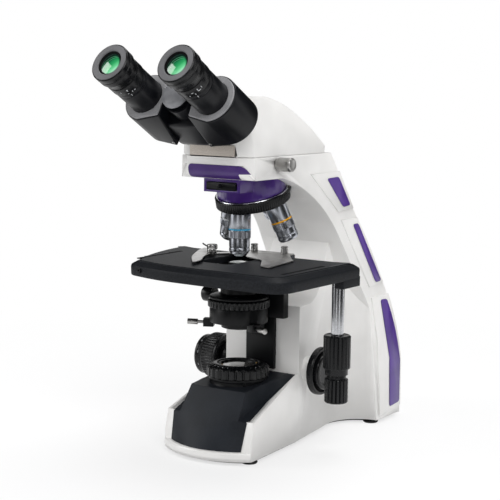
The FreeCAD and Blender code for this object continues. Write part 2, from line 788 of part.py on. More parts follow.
bracket_block = box(-S.bracket_x, S.bracket_x, S.bracket_y, S.bracket_back_y, S.bracket_z, S.lower_z)
channel = box(
    -S.guide_x - S.running_gap, S.guide_x + S.running_gap, S.guide_y - S.running_gap,
    S.bracket_back_y + 1, S.bracket_z - 1, S.guide_head_z + S.focus_travel + 2,
)
shelf = box(-S.bracket_x, S.bracket_x, S.condenser_neck + 4, S.bracket_back_y, S.lower_z - 5, S.lower_z)
rail = box(-S.rail_x, S.rail_x, S.rail_y, S.bracket_y, 108, S.lower_z - 5)
shaft_bore = cylinder(S.lift_shaft_radius + 0.05, 13, (-S.bracket_x - 1, S.lift_y, S.lift_z), "+X")
node(cut(fuse(bracket_block, shelf, rail), channel, shaft_bore, name="bracket"), "stage_bracket")

lower = box(-60, 60, -50, 45, S.lower_z, S.lower_z + S.lower_plate)
node(cut(lower, cylinder(S.condenser_neck + 2.5, 40, (0, 0, S.lower_z - 10)), name="lower"), "lower_stage_plate")

node(turned("lift", [
    (0, 0), (S.lift_radius - 1, 0), (S.lift_radius, 1), (S.lift_radius, 12),
    (S.lift_shaft_radius, 12), (S.lift_shaft_radius, 48), (0, 48),
], (-68, S.lift_y, S.lift_z), Y_AXIS, 90), "condenser_knob")

# Stage: a skirted plate that slides front to back, open behind


def stage_outline(inset, back):
    """The stage's plan, drawn in by an inset, with its back edge at a given place."""
    inset = size(inset)
    return [
        (S.stage_front_x + inset, S.stage_corner_y + inset, 390.0),
        (S.stage_right_x - 22, S.stage_front_y + inset, S.stage_corner - inset),
        (S.stage_right_x - inset, S.stage_front_y + 22),
        (S.stage_right_x - inset, back),
        (S.stage_left_x + inset, back, 240.0),
    ]


top_z = S.stage_top_z - S.top_plate
foot_z = S.stage_top_z - S.stage_depth
slab = padded("stage_slab", stage_outline(0, S.stage_back_y), foot_z, S.stage_top_z)
room = padded("stage_room", stage_outline(S.skirt_wall, S.stage_back_y + 10), foot_z - 1, top_z)
rail_block = box(S.stage_right_x - 10, S.stage_right_x, 14, 44, foot_z - 7.5, top_z)
hanger = cylinder(S.drive_radius + 3.5, top_z - foot_z + 0.5, (S.drive_x, S.drive_y, foot_z))
window = box(-S.aperture_x, S.aperture_x, -S.aperture_y, S.aperture_y - 8, top_z - 1, S.stage_top_z + 1)
left_slot = box(S.slot_left_x - 2, S.slot_left_x + 2, -62, 8, S.stage_top_z - 2, S.stage_top_z + 1)
right_slot = box(S.slot_x - 2, S.slot_x + 2, -67, 5, S.stage_top_z - 2, S.stage_top_z + 1)
back_groove = box(
    -90, 62, S.stage_back_y - 4, S.stage_back_y + 1, S.stage_top_z - 3.5, S.stage_top_z - 1.8,
)
drive_hole = cylinder(S.drive_radius, 30, (S.drive_x, S.drive_y, foot_z - 1))
plate = fuse(cut(slab, room), rail_block, hanger)
drive_seat = cylinder(S.drive_radius, top_z - foot_z + 1, (S.drive_x, S.drive_y, foot_z - 1))
node(cut(plate, window, left_slot, right_slot, back_groove, drive_seat, name="stage"), "stage_plate")

# Stage drive: a post that carries the two fluted knobs, one above the other

node(turned("post", [
    (0, S.x_knob_foot_z + 2), (S.drive_core - 1, S.x_knob_foot_z + 2), (S.drive_core - 1, S.x_knob_top_z + 3),
    (S.drive_core, S.x_knob_top_z + 3), (S.drive_core, S.y_knob_top_z + S.running_gap),
    (S.drive_radius, S.y_knob_top_z + S.running_gap), (S.drive_radius, top_z), (0, top_z),
], (S.drive_x, S.drive_y, 0)), "drive_post")
y_knob = turned("upper_knob", [
    (S.drive_core + 0.05, S.x_knob_top_z + 3.2), (S.knob_neck_radius, S.x_knob_top_z + 3.2),
    (S.knob_neck_radius, S.y_knob_foot_z), (S.y_knob_radius, S.y_knob_foot_z),
    (S.y_knob_radius, S.y_knob_top_z - 1), (S.y_knob_radius - 1, S.y_knob_top_z),
    (S.drive_core + 0.05, S.y_knob_top_z),
], (S.drive_x, S.drive_y, 0))
notched(y_knob, S.y_knob_radius + 0.7, 1.7, S.y_knob_foot_z + 2, S.y_knob_top_z + 1, 20)
node(y_knob, "stage_y_knob")
x_knob = turned("lower_knob", [
    (0, S.x_knob_foot_z), (S.x_knob_radius - 1, S.x_knob_foot_z), (S.x_knob_radius, S.x_knob_foot_z + 1),
    (S.x_knob_radius, S.x_knob_top_z), (S.knob_neck_radius, S.x_knob_top_z),
    (S.knob_neck_radius, S.x_knob_top_z + 2.8), (S.drive_core - 0.95, S.x_knob_top_z + 2.8),
    (S.drive_core - 0.95, S.x_knob_foot_z + 1.7), (0, S.x_knob_foot_z + 1.7),
], (S.drive_x, S.drive_y, 0))
notched(x_knob, S.x_knob_radius + 0.7, 1.5, S.x_knob_foot_z + 2, S.x_knob_top_z + 0.1, 18)
node(x_knob, "stage_x_knob")

# Slide holder: a carriage on the stage's back edge, an angled plate and a sprung finger

holder_z = S.stage_top_z + 0.6
carriage_block = box(-24, 30, S.stage_back_y + S.running_gap, S.stage_back_y + 8, top_z + 0.3, holder_z)
tongue = box(
    -24, 30, S.stage_back_y - 3.7, S.stage_back_y + 1, S.stage_top_z - 3.2, S.stage_top_z - 2.1,
)
node(fuse(carriage_block, tongue, name="x_slide"), "slide_carriage")

angle_plate = padded("angle_plate", [
    (4, 5), (32, -5.6), (52, -40.6), (65, -46), (55.7, 10.5), (30, 46), (30, 53), (-22, 53),
    (-30, 20), (-42, 6), (-37, 0), (-22, 16), (-8, 26),
], holder_z, holder_z + S.holder_plate)
stud = cylinder(1.6, 1.2, (-37, 6, holder_z + S.holder_plate))
rear_screws = [
    turned("rear_screw", [(0, 0), (3.6, 0), (3.6, 5), (2.6, 7), (0, 7)], (x, 49.6, holder_z + S.holder_plate))
    for x in (-16, 20)
]
node(fuse(angle_plate, stud, *rear_screws, name="angle"), "holder_plate")

finger_z = holder_z + S.holder_plate + S.running_gap
finger = padded("finger_plate", [
    (-61, 26), (-50, -2, 130.0), (-23, -47, 90.0), (-6, -68), (-8, -53), (-19, -34, -70.0), (-30, -4, -14.0),
    (-36, 14),
], finger_z, finger_z + 1.3)
finger_knob = turned("finger_knob", [
    (0, 1.3), (4.2, 1.3), (4.2, 8), (3.2, 9), (0, 9),
], (-37, 6, finger_z))
finger_bore = cylinder(1.68, 1.3, (-37, 6, finger_z - 0.3))
node(cut(fuse(finger, finger_knob), finger_bore, name="sprung"), "spring_finger")

# Condenser: a cup on the bracket's rail, the condenser in it with an iris ring

cup_radius = S.condenser_radius - 4.5
block = box(-14, 14, 18, S.bracket_y - S.running_gap, S.condenser_foot_z - 2, S.iris_ring_z - 1)
lugs = []
lug_bores = []
for side in (-1, 1):
    turn = math.degrees(math.atan2(0.43, 0.9))
    lug = doc.addObject("Part::Box", "lug")
    bind(lug, Length=10, Width=9, Height=8)
    spin = 180 + turn if side < 0 else -turn
    radial = Vector(math.cos(math.radians(spin)), math.sin(math.radians(spin)), 0)
    tangent_way = Vector(-radial.y, radial.x, 0)
    start = radial * (S.condenser_radius.number - 4) - tangent_way * 4.5
    place(lug, (start.x, start.y, S.condenser_foot_z - 6), Z_AXIS, spin)
    lugs.append(lug)
    bore = doc.addObject("Part::Cylinder", "lug_bore")
    bind(bore, Radius=S.centring_radius + 0.05, Height=24)
    head = radial * (S.condenser_radius.number - 10)
    across_axis = Vector(-radial.y, radial.x, 0)
    place(bore, (head.x, head.y, S.condenser_foot_z - 2), across_axis, 90)
    lug_bores.append(bore)
cup = turned("cup", [
    (cup_radius, S.condenser_foot_z), (S.condenser_radius, S.condenser_foot_z),
    (S.condenser_radius, S.iris_ring_z - S.running_gap), (cup_radius, S.iris_ring_z - S.running_gap),
])
rail_channel = box(
    -S.rail_x - S.running_gap, S.rail_x + S.running_gap, S.rail_y - S.running_gap,
    S.bracket_y + 1, S.condenser_foot_z - 3, S.iris_ring_z,
)
cup_room = cylinder(cup_radius, 20, (0, 0, S.condenser_foot_z - 3))
node(cut(fuse(cup, block, *lugs), rail_channel, cup_room, *lug_bores, name="carrier"), "condenser_carrier")

node(turned("condenser", [
    (0, S.condenser_foot_z - 6), (17, S.condenser_foot_z - 6), (17, S.condenser_foot_z),
    (cup_radius, S.condenser_foot_z), (cup_radius, S.iris_ring_z + S.iris_ring_depth + 0.3),
    (29, S.iris_ring_z + S.iris_ring_depth + 0.3), (29, S.iris_ring_z + S.iris_ring_depth + 3),
    (S.condenser_neck, S.iris_ring_z + S.iris_ring_depth + 5), (S.condenser_neck, S.condenser_top_z - 9),
    (S.condenser_tip, S.condenser_top_z - 2), (S.condenser_tip, S.condenser_top_z - 0.5),
    (0, S.condenser_top_z - 0.5),
]), "condenser_body")
node(turned("top_lens", [
    (0, S.condenser_top_z - 0.5), (S.condenser_tip - 1.5, S.condenser_top_z - 0.5), (0, S.condenser_top_z + 0.8),
]), "condenser_lens")
iris = turned("iris", [
    (cup_radius + 0.3, S.iris_ring_z), (S.iris_ring_radius, S.iris_ring_z),
    (S.iris_ring_radius, S.iris_ring_z + S.iris_ring_depth),
    (cup_radius + 0.3, S.iris_ring_z + S.iris_ring_depth),
])
notched(iris, S.iris_ring_radius + 0.4, 1.2, S.iris_ring_z - 0.5, S.iris_ring_z + S.iris_ring_depth + 0.5, 36)
node(iris, "iris_ring")
for side, title in ((-1, "left"), (1, "right")):
    turn = math.degrees(math.atan2(0.43, 0.9))
    spin = 180 + turn if side < 0 else -turn
    radial = Vector(math.cos(math.radians(spin)), math.sin(math.radians(spin)), 0)
    start = radial * (cup_radius.number + 0.6)
    node(turned("centring_" + title, [
        (0, 0), (S.centring_radius, 0), (S.centring_radius, 16), (2.8, 16), (2.8, 26), (0, 26),
    ], (start.x, start.y, S.condenser_foot_z - 2), Vector(-radial.y, radial.x, 0), 90), "centring_screw_" + title)

# Nosepiece: housing under the arm, turret on a tilted bolt, four objectives

TILT_SINE, TILT_COSINE = sine(S.tilt), cosine(S.tilt)
TILT_AXIS = Vector(0, -TILT_SINE.number, TILT_COSINE.number)
hub_y = S.hole_circle * TILT_COSINE
hub_z = S.shoulder_z + S.hole_circle * TILT_SINE


def tilted(thing, height=0):
    """Puts a piece on the turret's axis, a height above the shoulders' centre."""
    height = size(height)
    return place(thing, (0, hub_y - height * TILT_SINE, hub_z + height * TILT_COSINE), X_AXIS, S.tilt)


def seated(thing, turn):
    """Puts a piece that hangs from its own origin at one of the turret's seats."""
    reach = S.hole_circle.number
    cos_turn, sin_turn = math.cos(math.radians(turn)), math.sin(math.radians(turn))
    radius = S.hole_circle
    at = (
        radius * sin_turn,
        hub_y - radius * TILT_COSINE * cos_turn,
        hub_z - radius * TILT_SINE * cos_turn,
    )
    return place(thing, at, TILT_AXIS, turn)


SEATS = {"objective_40": 0, "objective_10": 90, "objective_4": 180, "objective_100": -90}
cone_body = turned("turret_cone_body", [
    (6.05, -5.6), (11, -4.1), (33, 2.6), (33, S.ring_depth + 1), (6.05, S.ring_depth + 1),
])
tilted(cone_body)
sockets = []
for turn in SEATS.values():
    socket = doc.addObject("Part::Cylinder", "socket")
    bind(socket, Radius=S.thread_radius + 0.02, Height=9.0)
    sockets.append(seated(socket, turn))
    facing = doc.addObject("Part::Cylinder", "facing")
    bind(facing, Radius=S.objective_radius + 0.4, Height=8.0)
    seated(facing, turn)
    shift = facing.Placement.Rotation.multVec(Vector(0, 0, -8))
    for axis_name, value in (("x", shift.x), ("y", shift.y), ("z", shift.z)):
        base = facing.ExpressionEngine
        formula = next(rule for key, rule in base if key.endswith("Base." + axis_name))
        facing.setExpression("Placement.Base." + axis_name, f"({formula}) + ({value:.6f})")
    sockets.append(facing)
node(cut(cone_body, *sockets, name="turret"), "turret_plate")
turret_ring = turned("turret_ring_body", [
    (33, 1), (S.ring_radius - 1, 1), (S.ring_radius, 2), (S.ring_radius, S.ring_depth),
    (S.ring_radius - 1, S.ring_depth + 1), (33, S.ring_depth + 1),
])
notched(turret_ring, S.ring_radius + 0.6, 1.3, 0.5, S.ring_depth + 1.5, 48)
node(tilted(turret_ring), "turret_ring")
bolt = tilted(turned("bolt", [
    (0, -8.2), (9, -8.2), (10, -6.2), (6, -6.0), (6, S.ring_depth + 3), (0, S.ring_depth + 3),
]))


def objective(name, length, tip, grip):
    """A one-piece objective: thread, shoulder barrel, taper and tip."""
    length, tip, grip = size(length), size(tip), size(grip)
    radius = S.objective_radius
    return node(seated(turned(name + "_body", [
        (0, 4.5), (S.thread_radius, 4.5), (S.thread_radius, -0.5), (radius, -4.5),
        (radius, -grip), (radius - 1.6, -grip - 2.5), (tip + 1, -length + 1.5), (tip, -length), (0, -length),
    ]), SEATS[name]), name)


objective("objective_4", 28.0, 7.0, 17.0)
objective("objective_10", 37.8, 6.0, 22.0)


def sprung_objective(name, length):
    """A high-power objective whose front part can be pushed in against a spring."""
    length = size(length)
    radius = S.objective_radius
    step = length - 8.5
    node(seated(turned(name + "_body", [
        (0, 4.5), (S.thread_radius, 4.5), (S.thread_radius, -0.5), (radius, -4.5), (radius, -24),
        (radius - 1.6, -27), (8.2, -step), (5.0, -step), (5.0, -step + 7), (0, -step + 7),
    ]), SEATS[name]), name)
    node(seated(turned(name + "_front", [
        (0, -step + 4.5), (4.95, -step + 4.5), (4.95, -step - 1.8), (7.2, -step - 1.8),
        (5.6, -step - 5), (4.2, -length), (0, -length),
    ]), SEATS[name]), name + "_tip")


sprung_objective("objective_40", S.shoulder_z - S.tip_z)
sprung_objective("objective_100", S.shoulder_z - S.tip_z)

nose_block = padded("nose_block", mirrored([
    (S.plug_x + 4, S.nose_front_y), (S.plug_x + 4, 20),
]), S.nose_z - S.nose_depth, S.nose_z)
puck = tilted(turned("puck", [(0, S.ring_depth + 1.4), (34, S.ring_depth + 1.4), (34, 44), (0, 44)]))
puck = common(puck, box(-40, 40, -45, 70, 225, S.nose_z))
above_ring = tilted(turned("above_ring", [
    (0, S.ring_depth + 1.4), (90, S.ring_depth + 1.4), (90, 70), (0, 70),
]))
nose_body = common(fuse(nose_block, puck), above_ring)
plug_slot = box(
    -S.plug_x - S.running_gap, S.plug_x + S.running_gap, S.nose_front_y - 3, 16,
    S.plug_z - S.running_gap, S.plug_z + S.plug_depth + S.running_gap,
)
nose_light = cylinder(S.light_radius - 2, 60, (0, 0, S.shoulder_z))
arm_underside = side_slab("arm_underside", [
    (8, S.nose_z, -160.0), (110, S.nose_z - 69.5), (140, S.nose_z), (140, S.seam_z), (8, S.seam_z),
], S.wing_x + 5)
node(fuse(cut(nose_body, arm_underside, plug_slot, nose_light), bolt, name="nosepiece"), "nosepiece_housing")
plug = box(-S.plug_x, S.plug_x, S.nose_front_y - 1.5, 15, S.plug_z, S.plug_z + S.plug_depth)
plug_hole = cylinder(S.light_radius - 2, 30, (0, 0, S.plug_z - 5))
plug_pin = cylinder(2.0, 5, (0, S.nose_front_y - 1.5, S.plug_z + S.plug_depth / 2), "-Y")
node(fuse(cut(plug, plug_hole), plug_pin, name="plug"), "slot_plug")
nose_form = cut(body, right_corner, left_corner, name="nose_form")
node(common(nose_form, front_slab("fascia", fascia_front, S.nose_y - 1, S.nose_y + 10), name="fascia_form"), "nosepiece_fascia")

# Head lock screw on the right of the arm

node(turned("lock", [
    (0, 0), (S.lock_thread, 0), (S.lock_thread, 24), (5.5, 24), (5.5, 27), (6.8, 27),
    (6.8, 38), (5.8, 39), (0, 39),
], (S.dovetail_radius + 0.2, 0, S.lock_z), Y_AXIS, 90), "lock_screw")

# Head: a shell that turns on the arm, and a yoke that carries the two hinged tubes

LEAN_SINE, LEAN_COSINE = sine(S.incline), cosine(S.incline)
EYE_Z = S.seam_z + S.eye_rise


def inclined(thing, x=0, y=0, along=0):
    """Puts a piece in the eyepieces' frame: its own height runs towards the eye."""
    x, y, along = size(x), size(y), size(along)
    at = (
        x,
        S.eye_y + y * LEAN_SINE - along * LEAN_COSINE,
        EYE_Z + y * LEAN_COSINE + along * LEAN_SINE,
    )
    return place(thing, at, X_AXIS, 90 - S.incline)


head_z = S.seam_z + S.running_gap
head_side = side_slab("head_side", [
    (S.nose_y, head_z), (S.top_rear_y - 1, head_z), (S.top_rear_y - 11, head_z + 8),
    (S.top_rear_y - 32, head_z + 24.5), (S.top_rear_y - 58, S.head_top_z - 17, 150.0),
    (S.nose_y + 37, S.head_top_z), (S.nose_y + 2, S.head_top_z),
    (S.nose_y, S.head_top_z - 3),
], 60)
head_front = front_slab("head_front", [
    (-S.side_x, head_z), (S.side_x, head_z), (S.side_x - 7, S.head_top_z), (-S.side_x + 7, S.head_top_z),
], S.nose_y - 5, S.top_rear_y + 5)
head_plan = padded("head_plan", mirrored([
    (S.nose_x, S.nose_y), (S.side_x, S.nose_y + 11), (S.side_x, S.top_rear_y - 12), (S.side_x - 14, S.top_rear_y),
]), head_z, S.head_top_z + 1)
head_block = common(head_side, head_front, head_plan)
head_room = side_slab("head_room", [
    (-26, head_z + 5), (S.top_rear_y - 40, head_z + 5), (S.top_rear_y - 58, head_z + 24), (-26, head_z + 42),
], 30)
head_path = cylinder(S.light_radius, 20, (0, 0, head_z - 12))
dovetail = cone(S.dovetail_radius, S.dovetail_neck, S.dovetail_depth, (0, 0, S.seam_z - S.dovetail_depth), name="dovetail")
neck = cylinder(S.dovetail_neck, 1, (0, 0, S.seam_z - 0.5))
insert_pocket = box(-25.5, 25.5, S.nose_y - 1, S.nose_y + 3, head_z + 0.6, head_z + 11)
node(cut(fuse(head_block, dovetail, neck), head_room, head_path, insert_pocket, name="head"), "head_shell")
node(box(-25.5, 25.5, S.nose_y - 0.6, S.nose_y + 3, head_z + 0.6, head_z + 11, "insert"), "head_insert")

lean_tangent = LEAN_SINE / LEAN_COSINE
rear_along = S.housing_rear + 1.5
plane_y = S.eye_y + rear_along * LEAN_COSINE
plane_z = EYE_Z - rear_along * LEAN_SINE
wedge_foot, wedge_top = head_z + 11.5, plane_z + 18
wedge = side_slab("wedge", [
    (plane_y + (wedge_foot - plane_z) * lean_tangent, wedge_foot), (S.nose_y, wedge_foot),
    (S.nose_y, wedge_top), (plane_y + (wedge_top - plane_z) * lean_tangent, wedge_top),
], 34)
hub = inclined(turned("hub", [(0, -S.housing_rear - 4), (S.hinge_radius, -S.housing_rear - 4),
                              (S.hinge_radius, -57), (0, -57)]))
node(fuse(wedge, hub, name="yoke"), "head_yoke")
node(inclined(turned("cap", [
    (0, -57), (13.8, -57), (13.8, -52), (10, -50), (0, -49.5),
])), "hinge_cap")


def d_outline(side, inset):
    """A prism housing's section: round outside, cut flat below and towards the hinge."""
    r, x = S.housing_radius.number - inset, S.eye_x.number
    at = [(x + r * math.cos(math.radians(a)), r * math.sin(math.radians(a))) for a in (-60, 40, 140)]
    points = [
        (S.eye_x + (at[0][0] - x), at[0][1], S.housing_radius - inset),
        (S.eye_x + (at[1][0] - x), at[1][1], S.housing_radius - inset),
        (S.eye_x + (at[2][0] - x), at[2][1]),
        (S.eye_x - 22 + inset, -6), (S.eye_x - 12.7 + inset / 2, -25 + inset), (S.eye_x + 3.3, -27 + inset),
    ]
    if side > 0:
        return points
    flipped = []
    for i in range(len(points) - 1, -1, -1):
        before = points[i - 1]
        corner = (-size(points[i][0]), points[i][1])
        flipped.append(corner + (before[2],) if len(before) == 3 else corner)
    return flipped


def tube(side, title, eye_start, eye_end):
    """One side of the binocular: prism housing with its hinge eye, face, eyepiece and diopter ring."""
    x = S.eye_x * side
    shell = inclined(padded(title + "_shell", d_outline(side, 0), -S.housing_rear, -S.housing_front - 2))
    clear = inclined(turned(title + "_clear", [
        (0, -120), (S.hinge_eye + 0.5, -120), (S.hinge_eye + 0.5, -50), (0, -50),
    ]))
    knuckle = inclined(turned(title + "_knuckle", [
        (0, -eye_end), (S.hinge_eye, -eye_end), (S.hinge_eye, -eye_start), (0, -eye_start),
    ]))
    web_x = (8, S.eye_x - 16) if side > 0 else (-S.eye_x + 16, -8)
    web = inclined(padded(title + "_web", [
        (web_x[0], -8), (web_x[1], -8), (web_x[1], 8), (web_x[0], 8),
    ], -eye_end, -eye_start))
    pin_bore = inclined(turned(title + "_bore", [
        (0, -120), (S.hinge_radius + 0.05, -120), (S.hinge_radius + 0.05, -50), (0, -50),
    ]))
    sleeve = inclined(turned(title + "_sleeve", [
        (S.barrel_radius + 0.05, -S.housing_front - 2), (S.sleeve_radius, -S.housing_front - 2),
        (S.sleeve_radius, -30), (S.barrel_radius + 1.1, -30), (S.barrel_radius + 1.1, -19.6),
        (S.barrel_radius + 0.05, -19.6),
    ]), x)
    housing = cut(fuse(cut(shell, clear), knuckle, web, sleeve), pin_bore, name=title + "_prism")
    node(housing, title + "_housing")
    face = inclined(padded(title + "_face_plate", d_outline(side, 0.8), -S.housing_front - 2, -S.housing_front))
    hole = inclined(turned(title + "_hole", [
        (0, -70), (S.sleeve_radius, -70), (S.sleeve_radius, -50), (0, -50),
    ]), x)
    face_clear = inclined(turned(title + "_face_clear", [
        (0, -120), (S.hinge_eye + 0.5, -120), (S.hinge_eye + 0.5, -50), (0, -50),
    ]))
    node(cut(face, hole, face_clear, name=title + "_end"), title + "_face")
    node(inclined(turned(title + "_ring", [
        (S.barrel_radius + 1.4, -29.7), (S.sleeve_radius + 0.5, -29.7), (S.sleeve_radius + 0.5, -19.9),
        (S.barrel_radius + 1.4, -19.9),
    ]), x), title + "_diopter")
    node(inclined(turned(title + "_eye", [
        (0, -S.housing_front - 1.9), (S.barrel_radius, -S.housing_front - 1.9), (S.barrel_radius, -19.6),
        (S.sleeve_radius + 0.2, -19.6), (S.sleeve_radius + 0.2, -18), (S.eyecup_radius, -12),
        (S.eyecup_radius, 0), (13.6, 0), (12.8, -3.5), (0, -3.5),
    ]), x), title + "_eyepiece")
    node(inclined(turned(title + "_glass", [(0, -3.5), (12.6, -3.5), (0, -1.2)]), x), title + "_eye_lens")


tube(-1, "left", 63.4, 82.4)
tube(1, "right", 83, 103)

doc.recompute()
faults = [thing.Name for thing in doc.Objects if "Invalid" in thing.State or "Error" in thing.State]
for thing in NODES:
    shape = thing.Shape
    if shape.isNull() or not shape.isValid():
        faults.append(thing.Label)
if faults:
    raise RuntimeError("these pieces failed: " + ", ".join(faults))
os.makedirs("parts", exist_ok=True)
for thing in NODES:
    thing.Shape.exportStep(f"parts/{thing.Label}.step")
whole = FreeCAD.BoundBox()
for thing in NODES:
    whole.add(thing.Shape.BoundBox)
print("nodes", len(NODES), "box", whole)
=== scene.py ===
import json
import math
import re

import bmesh
import bpy
import numpy as np
from mathutils import Matrix, Vector

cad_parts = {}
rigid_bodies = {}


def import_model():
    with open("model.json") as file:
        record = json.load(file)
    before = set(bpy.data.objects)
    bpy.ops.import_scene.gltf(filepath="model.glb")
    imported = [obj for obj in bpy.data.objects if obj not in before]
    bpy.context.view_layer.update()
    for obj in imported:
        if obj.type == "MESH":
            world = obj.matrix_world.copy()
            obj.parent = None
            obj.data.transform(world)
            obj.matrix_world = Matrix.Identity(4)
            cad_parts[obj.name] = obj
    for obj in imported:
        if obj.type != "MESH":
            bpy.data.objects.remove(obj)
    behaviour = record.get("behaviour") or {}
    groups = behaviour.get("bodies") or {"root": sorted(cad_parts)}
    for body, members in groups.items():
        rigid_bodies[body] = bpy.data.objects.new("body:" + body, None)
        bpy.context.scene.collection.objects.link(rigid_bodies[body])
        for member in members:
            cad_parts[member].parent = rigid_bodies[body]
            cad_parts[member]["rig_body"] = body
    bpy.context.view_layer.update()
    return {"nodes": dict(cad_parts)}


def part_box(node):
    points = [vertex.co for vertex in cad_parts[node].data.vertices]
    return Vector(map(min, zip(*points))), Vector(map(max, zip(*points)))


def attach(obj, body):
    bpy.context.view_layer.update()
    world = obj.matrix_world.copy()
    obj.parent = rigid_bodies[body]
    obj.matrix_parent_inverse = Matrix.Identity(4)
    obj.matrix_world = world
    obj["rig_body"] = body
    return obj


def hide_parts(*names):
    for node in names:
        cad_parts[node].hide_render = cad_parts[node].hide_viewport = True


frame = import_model()
print("frame loaded")

axisShift = np.array([0.0, -29.7, 0.0])  # mm, where the optical axis stands in the frame


# shapes: every piece is a grid of points, in mm about the optical axis


def gridFaces(rows, cols, closeRows=False, closeCols=False):  # quads between neighbouring rows and columns
    r = np.arange(rows if closeRows else rows - 1)[:, None]
    c = np.arange(cols if closeCols else cols - 1)[None, :]
    down, along = (r + 1) % rows, (c + 1) % cols
    return np.stack([r * cols + c, r * cols + along, down * cols + along, down * cols + c], -1).reshape(-1, 4)


def tubeFaces(rows, cols):  # rows of closed loops, capped at both ends
    faces = [tuple(q) for q in gridFaces(rows, cols, closeCols=True)]
    return faces + [tuple(range(cols))[::-1], tuple(range((rows - 1) * cols, rows * cols))]


def outward(mesh, merge=2e-6):  # doubles merged, thin slivers dropped, faces turned outwards
    work = bmesh.new()
    work.from_mesh(mesh)
    bmesh.ops.remove_doubles(work, verts=work.verts, dist=merge)
    bmesh.ops.dissolve_degenerate(work, edges=work.edges, dist=merge)
    bmesh.ops.recalc_face_normals(work, faces=work.faces)
    work.to_mesh(mesh)
    work.free()


def piece(name, parts, body, finish, smooth=35.0, stands=()):
    # parts is a list of (points, faces), joined into one mesh, shaded smooth below the given angle
    verts, faces, start = [], [], 0
    for points, quads in parts:
        points = np.asarray(points, float).reshape(-1, 3)
        verts.append(points)
        faces += [tuple(int(i) + start for i in q) for q in quads]
        start += len(points)
    verts = (np.concatenate(verts) + axisShift) * 0.001
    mesh = bpy.data.meshes.new(name)
    mesh.from_pydata(verts.tolist(), [], faces)
    outward(mesh)
    mesh.set_sharp_from_angle(angle=math.radians(smooth))
    mesh.polygons.foreach_set("use_smooth", [True] * len(mesh.polygons))
    made = bpy.data.objects.new(name, mesh)
    bpy.context.scene.collection.objects.link(made)
    mesh.materials.append(finish)
    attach(made, body)
    if stands:
        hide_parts(*stands)
    return made


def frameOf(origin, along, across=None):
    # a local frame: z runs along, x is across made square to it, y completes it
    z = np.array(along, float) / np.linalg.norm(along)
    hint = np.array(across if across is not None else ((1.0, 0, 0) if abs(z[0]) < 0.9 else (0, 1.0, 0)), float)
    x = hint - z * (hint @ z)
    x /= np.linalg.norm(x)
    return np.array(origin, float), np.stack([x, np.cross(z, x), z])


def placed(points, where):  # local points carried into a frame made by frameOf
    origin, axes = where
    return np.asarray(points, float) @ axes + origin


def standing(x, y):  # an upright frame at a place on the plan
    return frameOf((x, y, 0), (0, 0, 1))


upright = frameOf((0, 0, 0), (0, 0, 1), (1, 0, 0))


def softened(corners, radius, steps=4, closed=False):
    # every corner of a line of points gives way to a quadratic bend that starts and ends radius before it
    p = np.asarray(corners, float)
    n = len(p)
    r = np.broadcast_to(np.asarray(radius, float), (n,))
    before, after = np.roll(p, 1, 0), np.roll(p, -1, 0)
    inLen = np.maximum(np.linalg.norm(before - p, axis=1), 1e-9)
    outLen = np.maximum(np.linalg.norm(after - p, axis=1), 1e-9)
    cut = np.minimum(r, np.minimum(inLen, outLen) * 0.49)
    a = p + (before - p) / inLen[:, None] * cut[:, None]
    b = p + (after - p) / outLen[:, None] * cut[:, None]
    t = np.linspace(0, 1, steps)[None, :, None]
    bends = (1 - t) ** 2 * a[:, None] + 2 * t * (1 - t) * p[:, None] + t ** 2 * b[:, None]
    if not closed:
        bends[0], bends[-1] = p[0], p[-1]
    flat = bends.reshape(-1, p.shape[1])
    keep = np.concatenate([[True], np.linalg.norm(np.diff(flat, axis=0), axis=1) > 1e-6])
    return flat[keep]


def turned(profile, where=upright, count=72, ripple=None, ring=False):
    # a profile of (radius, height) spun round the frame's z: x is the radius times the angle's cosine, y times its sine;
    # ripple(angle, radius, height) returns a new radius, and a ring's profile closes on itself
    p = np.asarray(profile, float)
    angle = np.arange(count) * 2 * math.pi / count
    radius = np.broadcast_to(p[:, 0:1], (len(p), count))
    height = np.broadcast_to(p[:, 1:2], (len(p), count))
    if ripple is not None:
        radius = ripple(angle[None, :], radius, height)
    points = np.stack([radius * np.cos(angle), radius * np.sin(angle), height], -1)
    return placed(points.reshape(-1, 3), where), gridFaces(len(p), count, closeRows=ring, closeCols=True)


def ringed(profile, where=upright, count=72, ripple=None):
    return turned(profile, where, count, ripple, ring=True)


def inset(outline, amount):
    # a closed outline moved inwards by amount along the bisector of its two edges
    p = np.asarray(outline, float)
    edge = np.roll(p, -1, 0) - p
    edge /= np.maximum(np.linalg.norm(edge, axis=1, keepdims=True), 1e-9)
    normal = np.stack([-edge[:, 1], edge[:, 0]], -1)
    both = normal + np.roll(normal, 1, 0)
    both /= np.maximum(np.linalg.norm(both, axis=1, keepdims=True), 1e-9)
    stretch = np.clip((both * normal).sum(1), 0.5, 1)
    turn = np.sum(p[:, 0] * np.roll(p[:, 1], -1) - p[:, 1] * np.roll(p[:, 0], -1))
    return p + both * (amount * math.copysign(1, turn) / stretch)[:, None]


def slab(outline, low, high, edge=0.6, where=upright, steps=3, highEdge=None, lowOutline=None):
    # an outline carried from low to high, its rim rounded by a quarter circle at each end; highEdge is the upper rim's
    # own radius, and where a second outline stands at low, every level between is the straight mix of the two
    outline = np.asarray(outline, float)
    highEdge = edge if highEdge is None else highEdge
    lowOutline = outline if lowOutline is None else lowOutline
    turn = np.linspace(0, math.pi / 2, steps + 1)
    ins = np.concatenate([edge * (1 - np.sin(turn)), highEdge * (1 - np.cos(turn))])
    level = np.concatenate([low + edge * (1 - np.cos(turn)), high - highEdge * (1 - np.sin(turn))])
    rows = [np.column_stack([inset(lowOutline + (outline - lowOutline) * (h - low) / (high - low), i),
            np.full(len(outline), h)])
            for i, h in zip(ins, level)]
    return placed(np.concatenate(rows), where), tubeFaces(len(rows), len(outline))


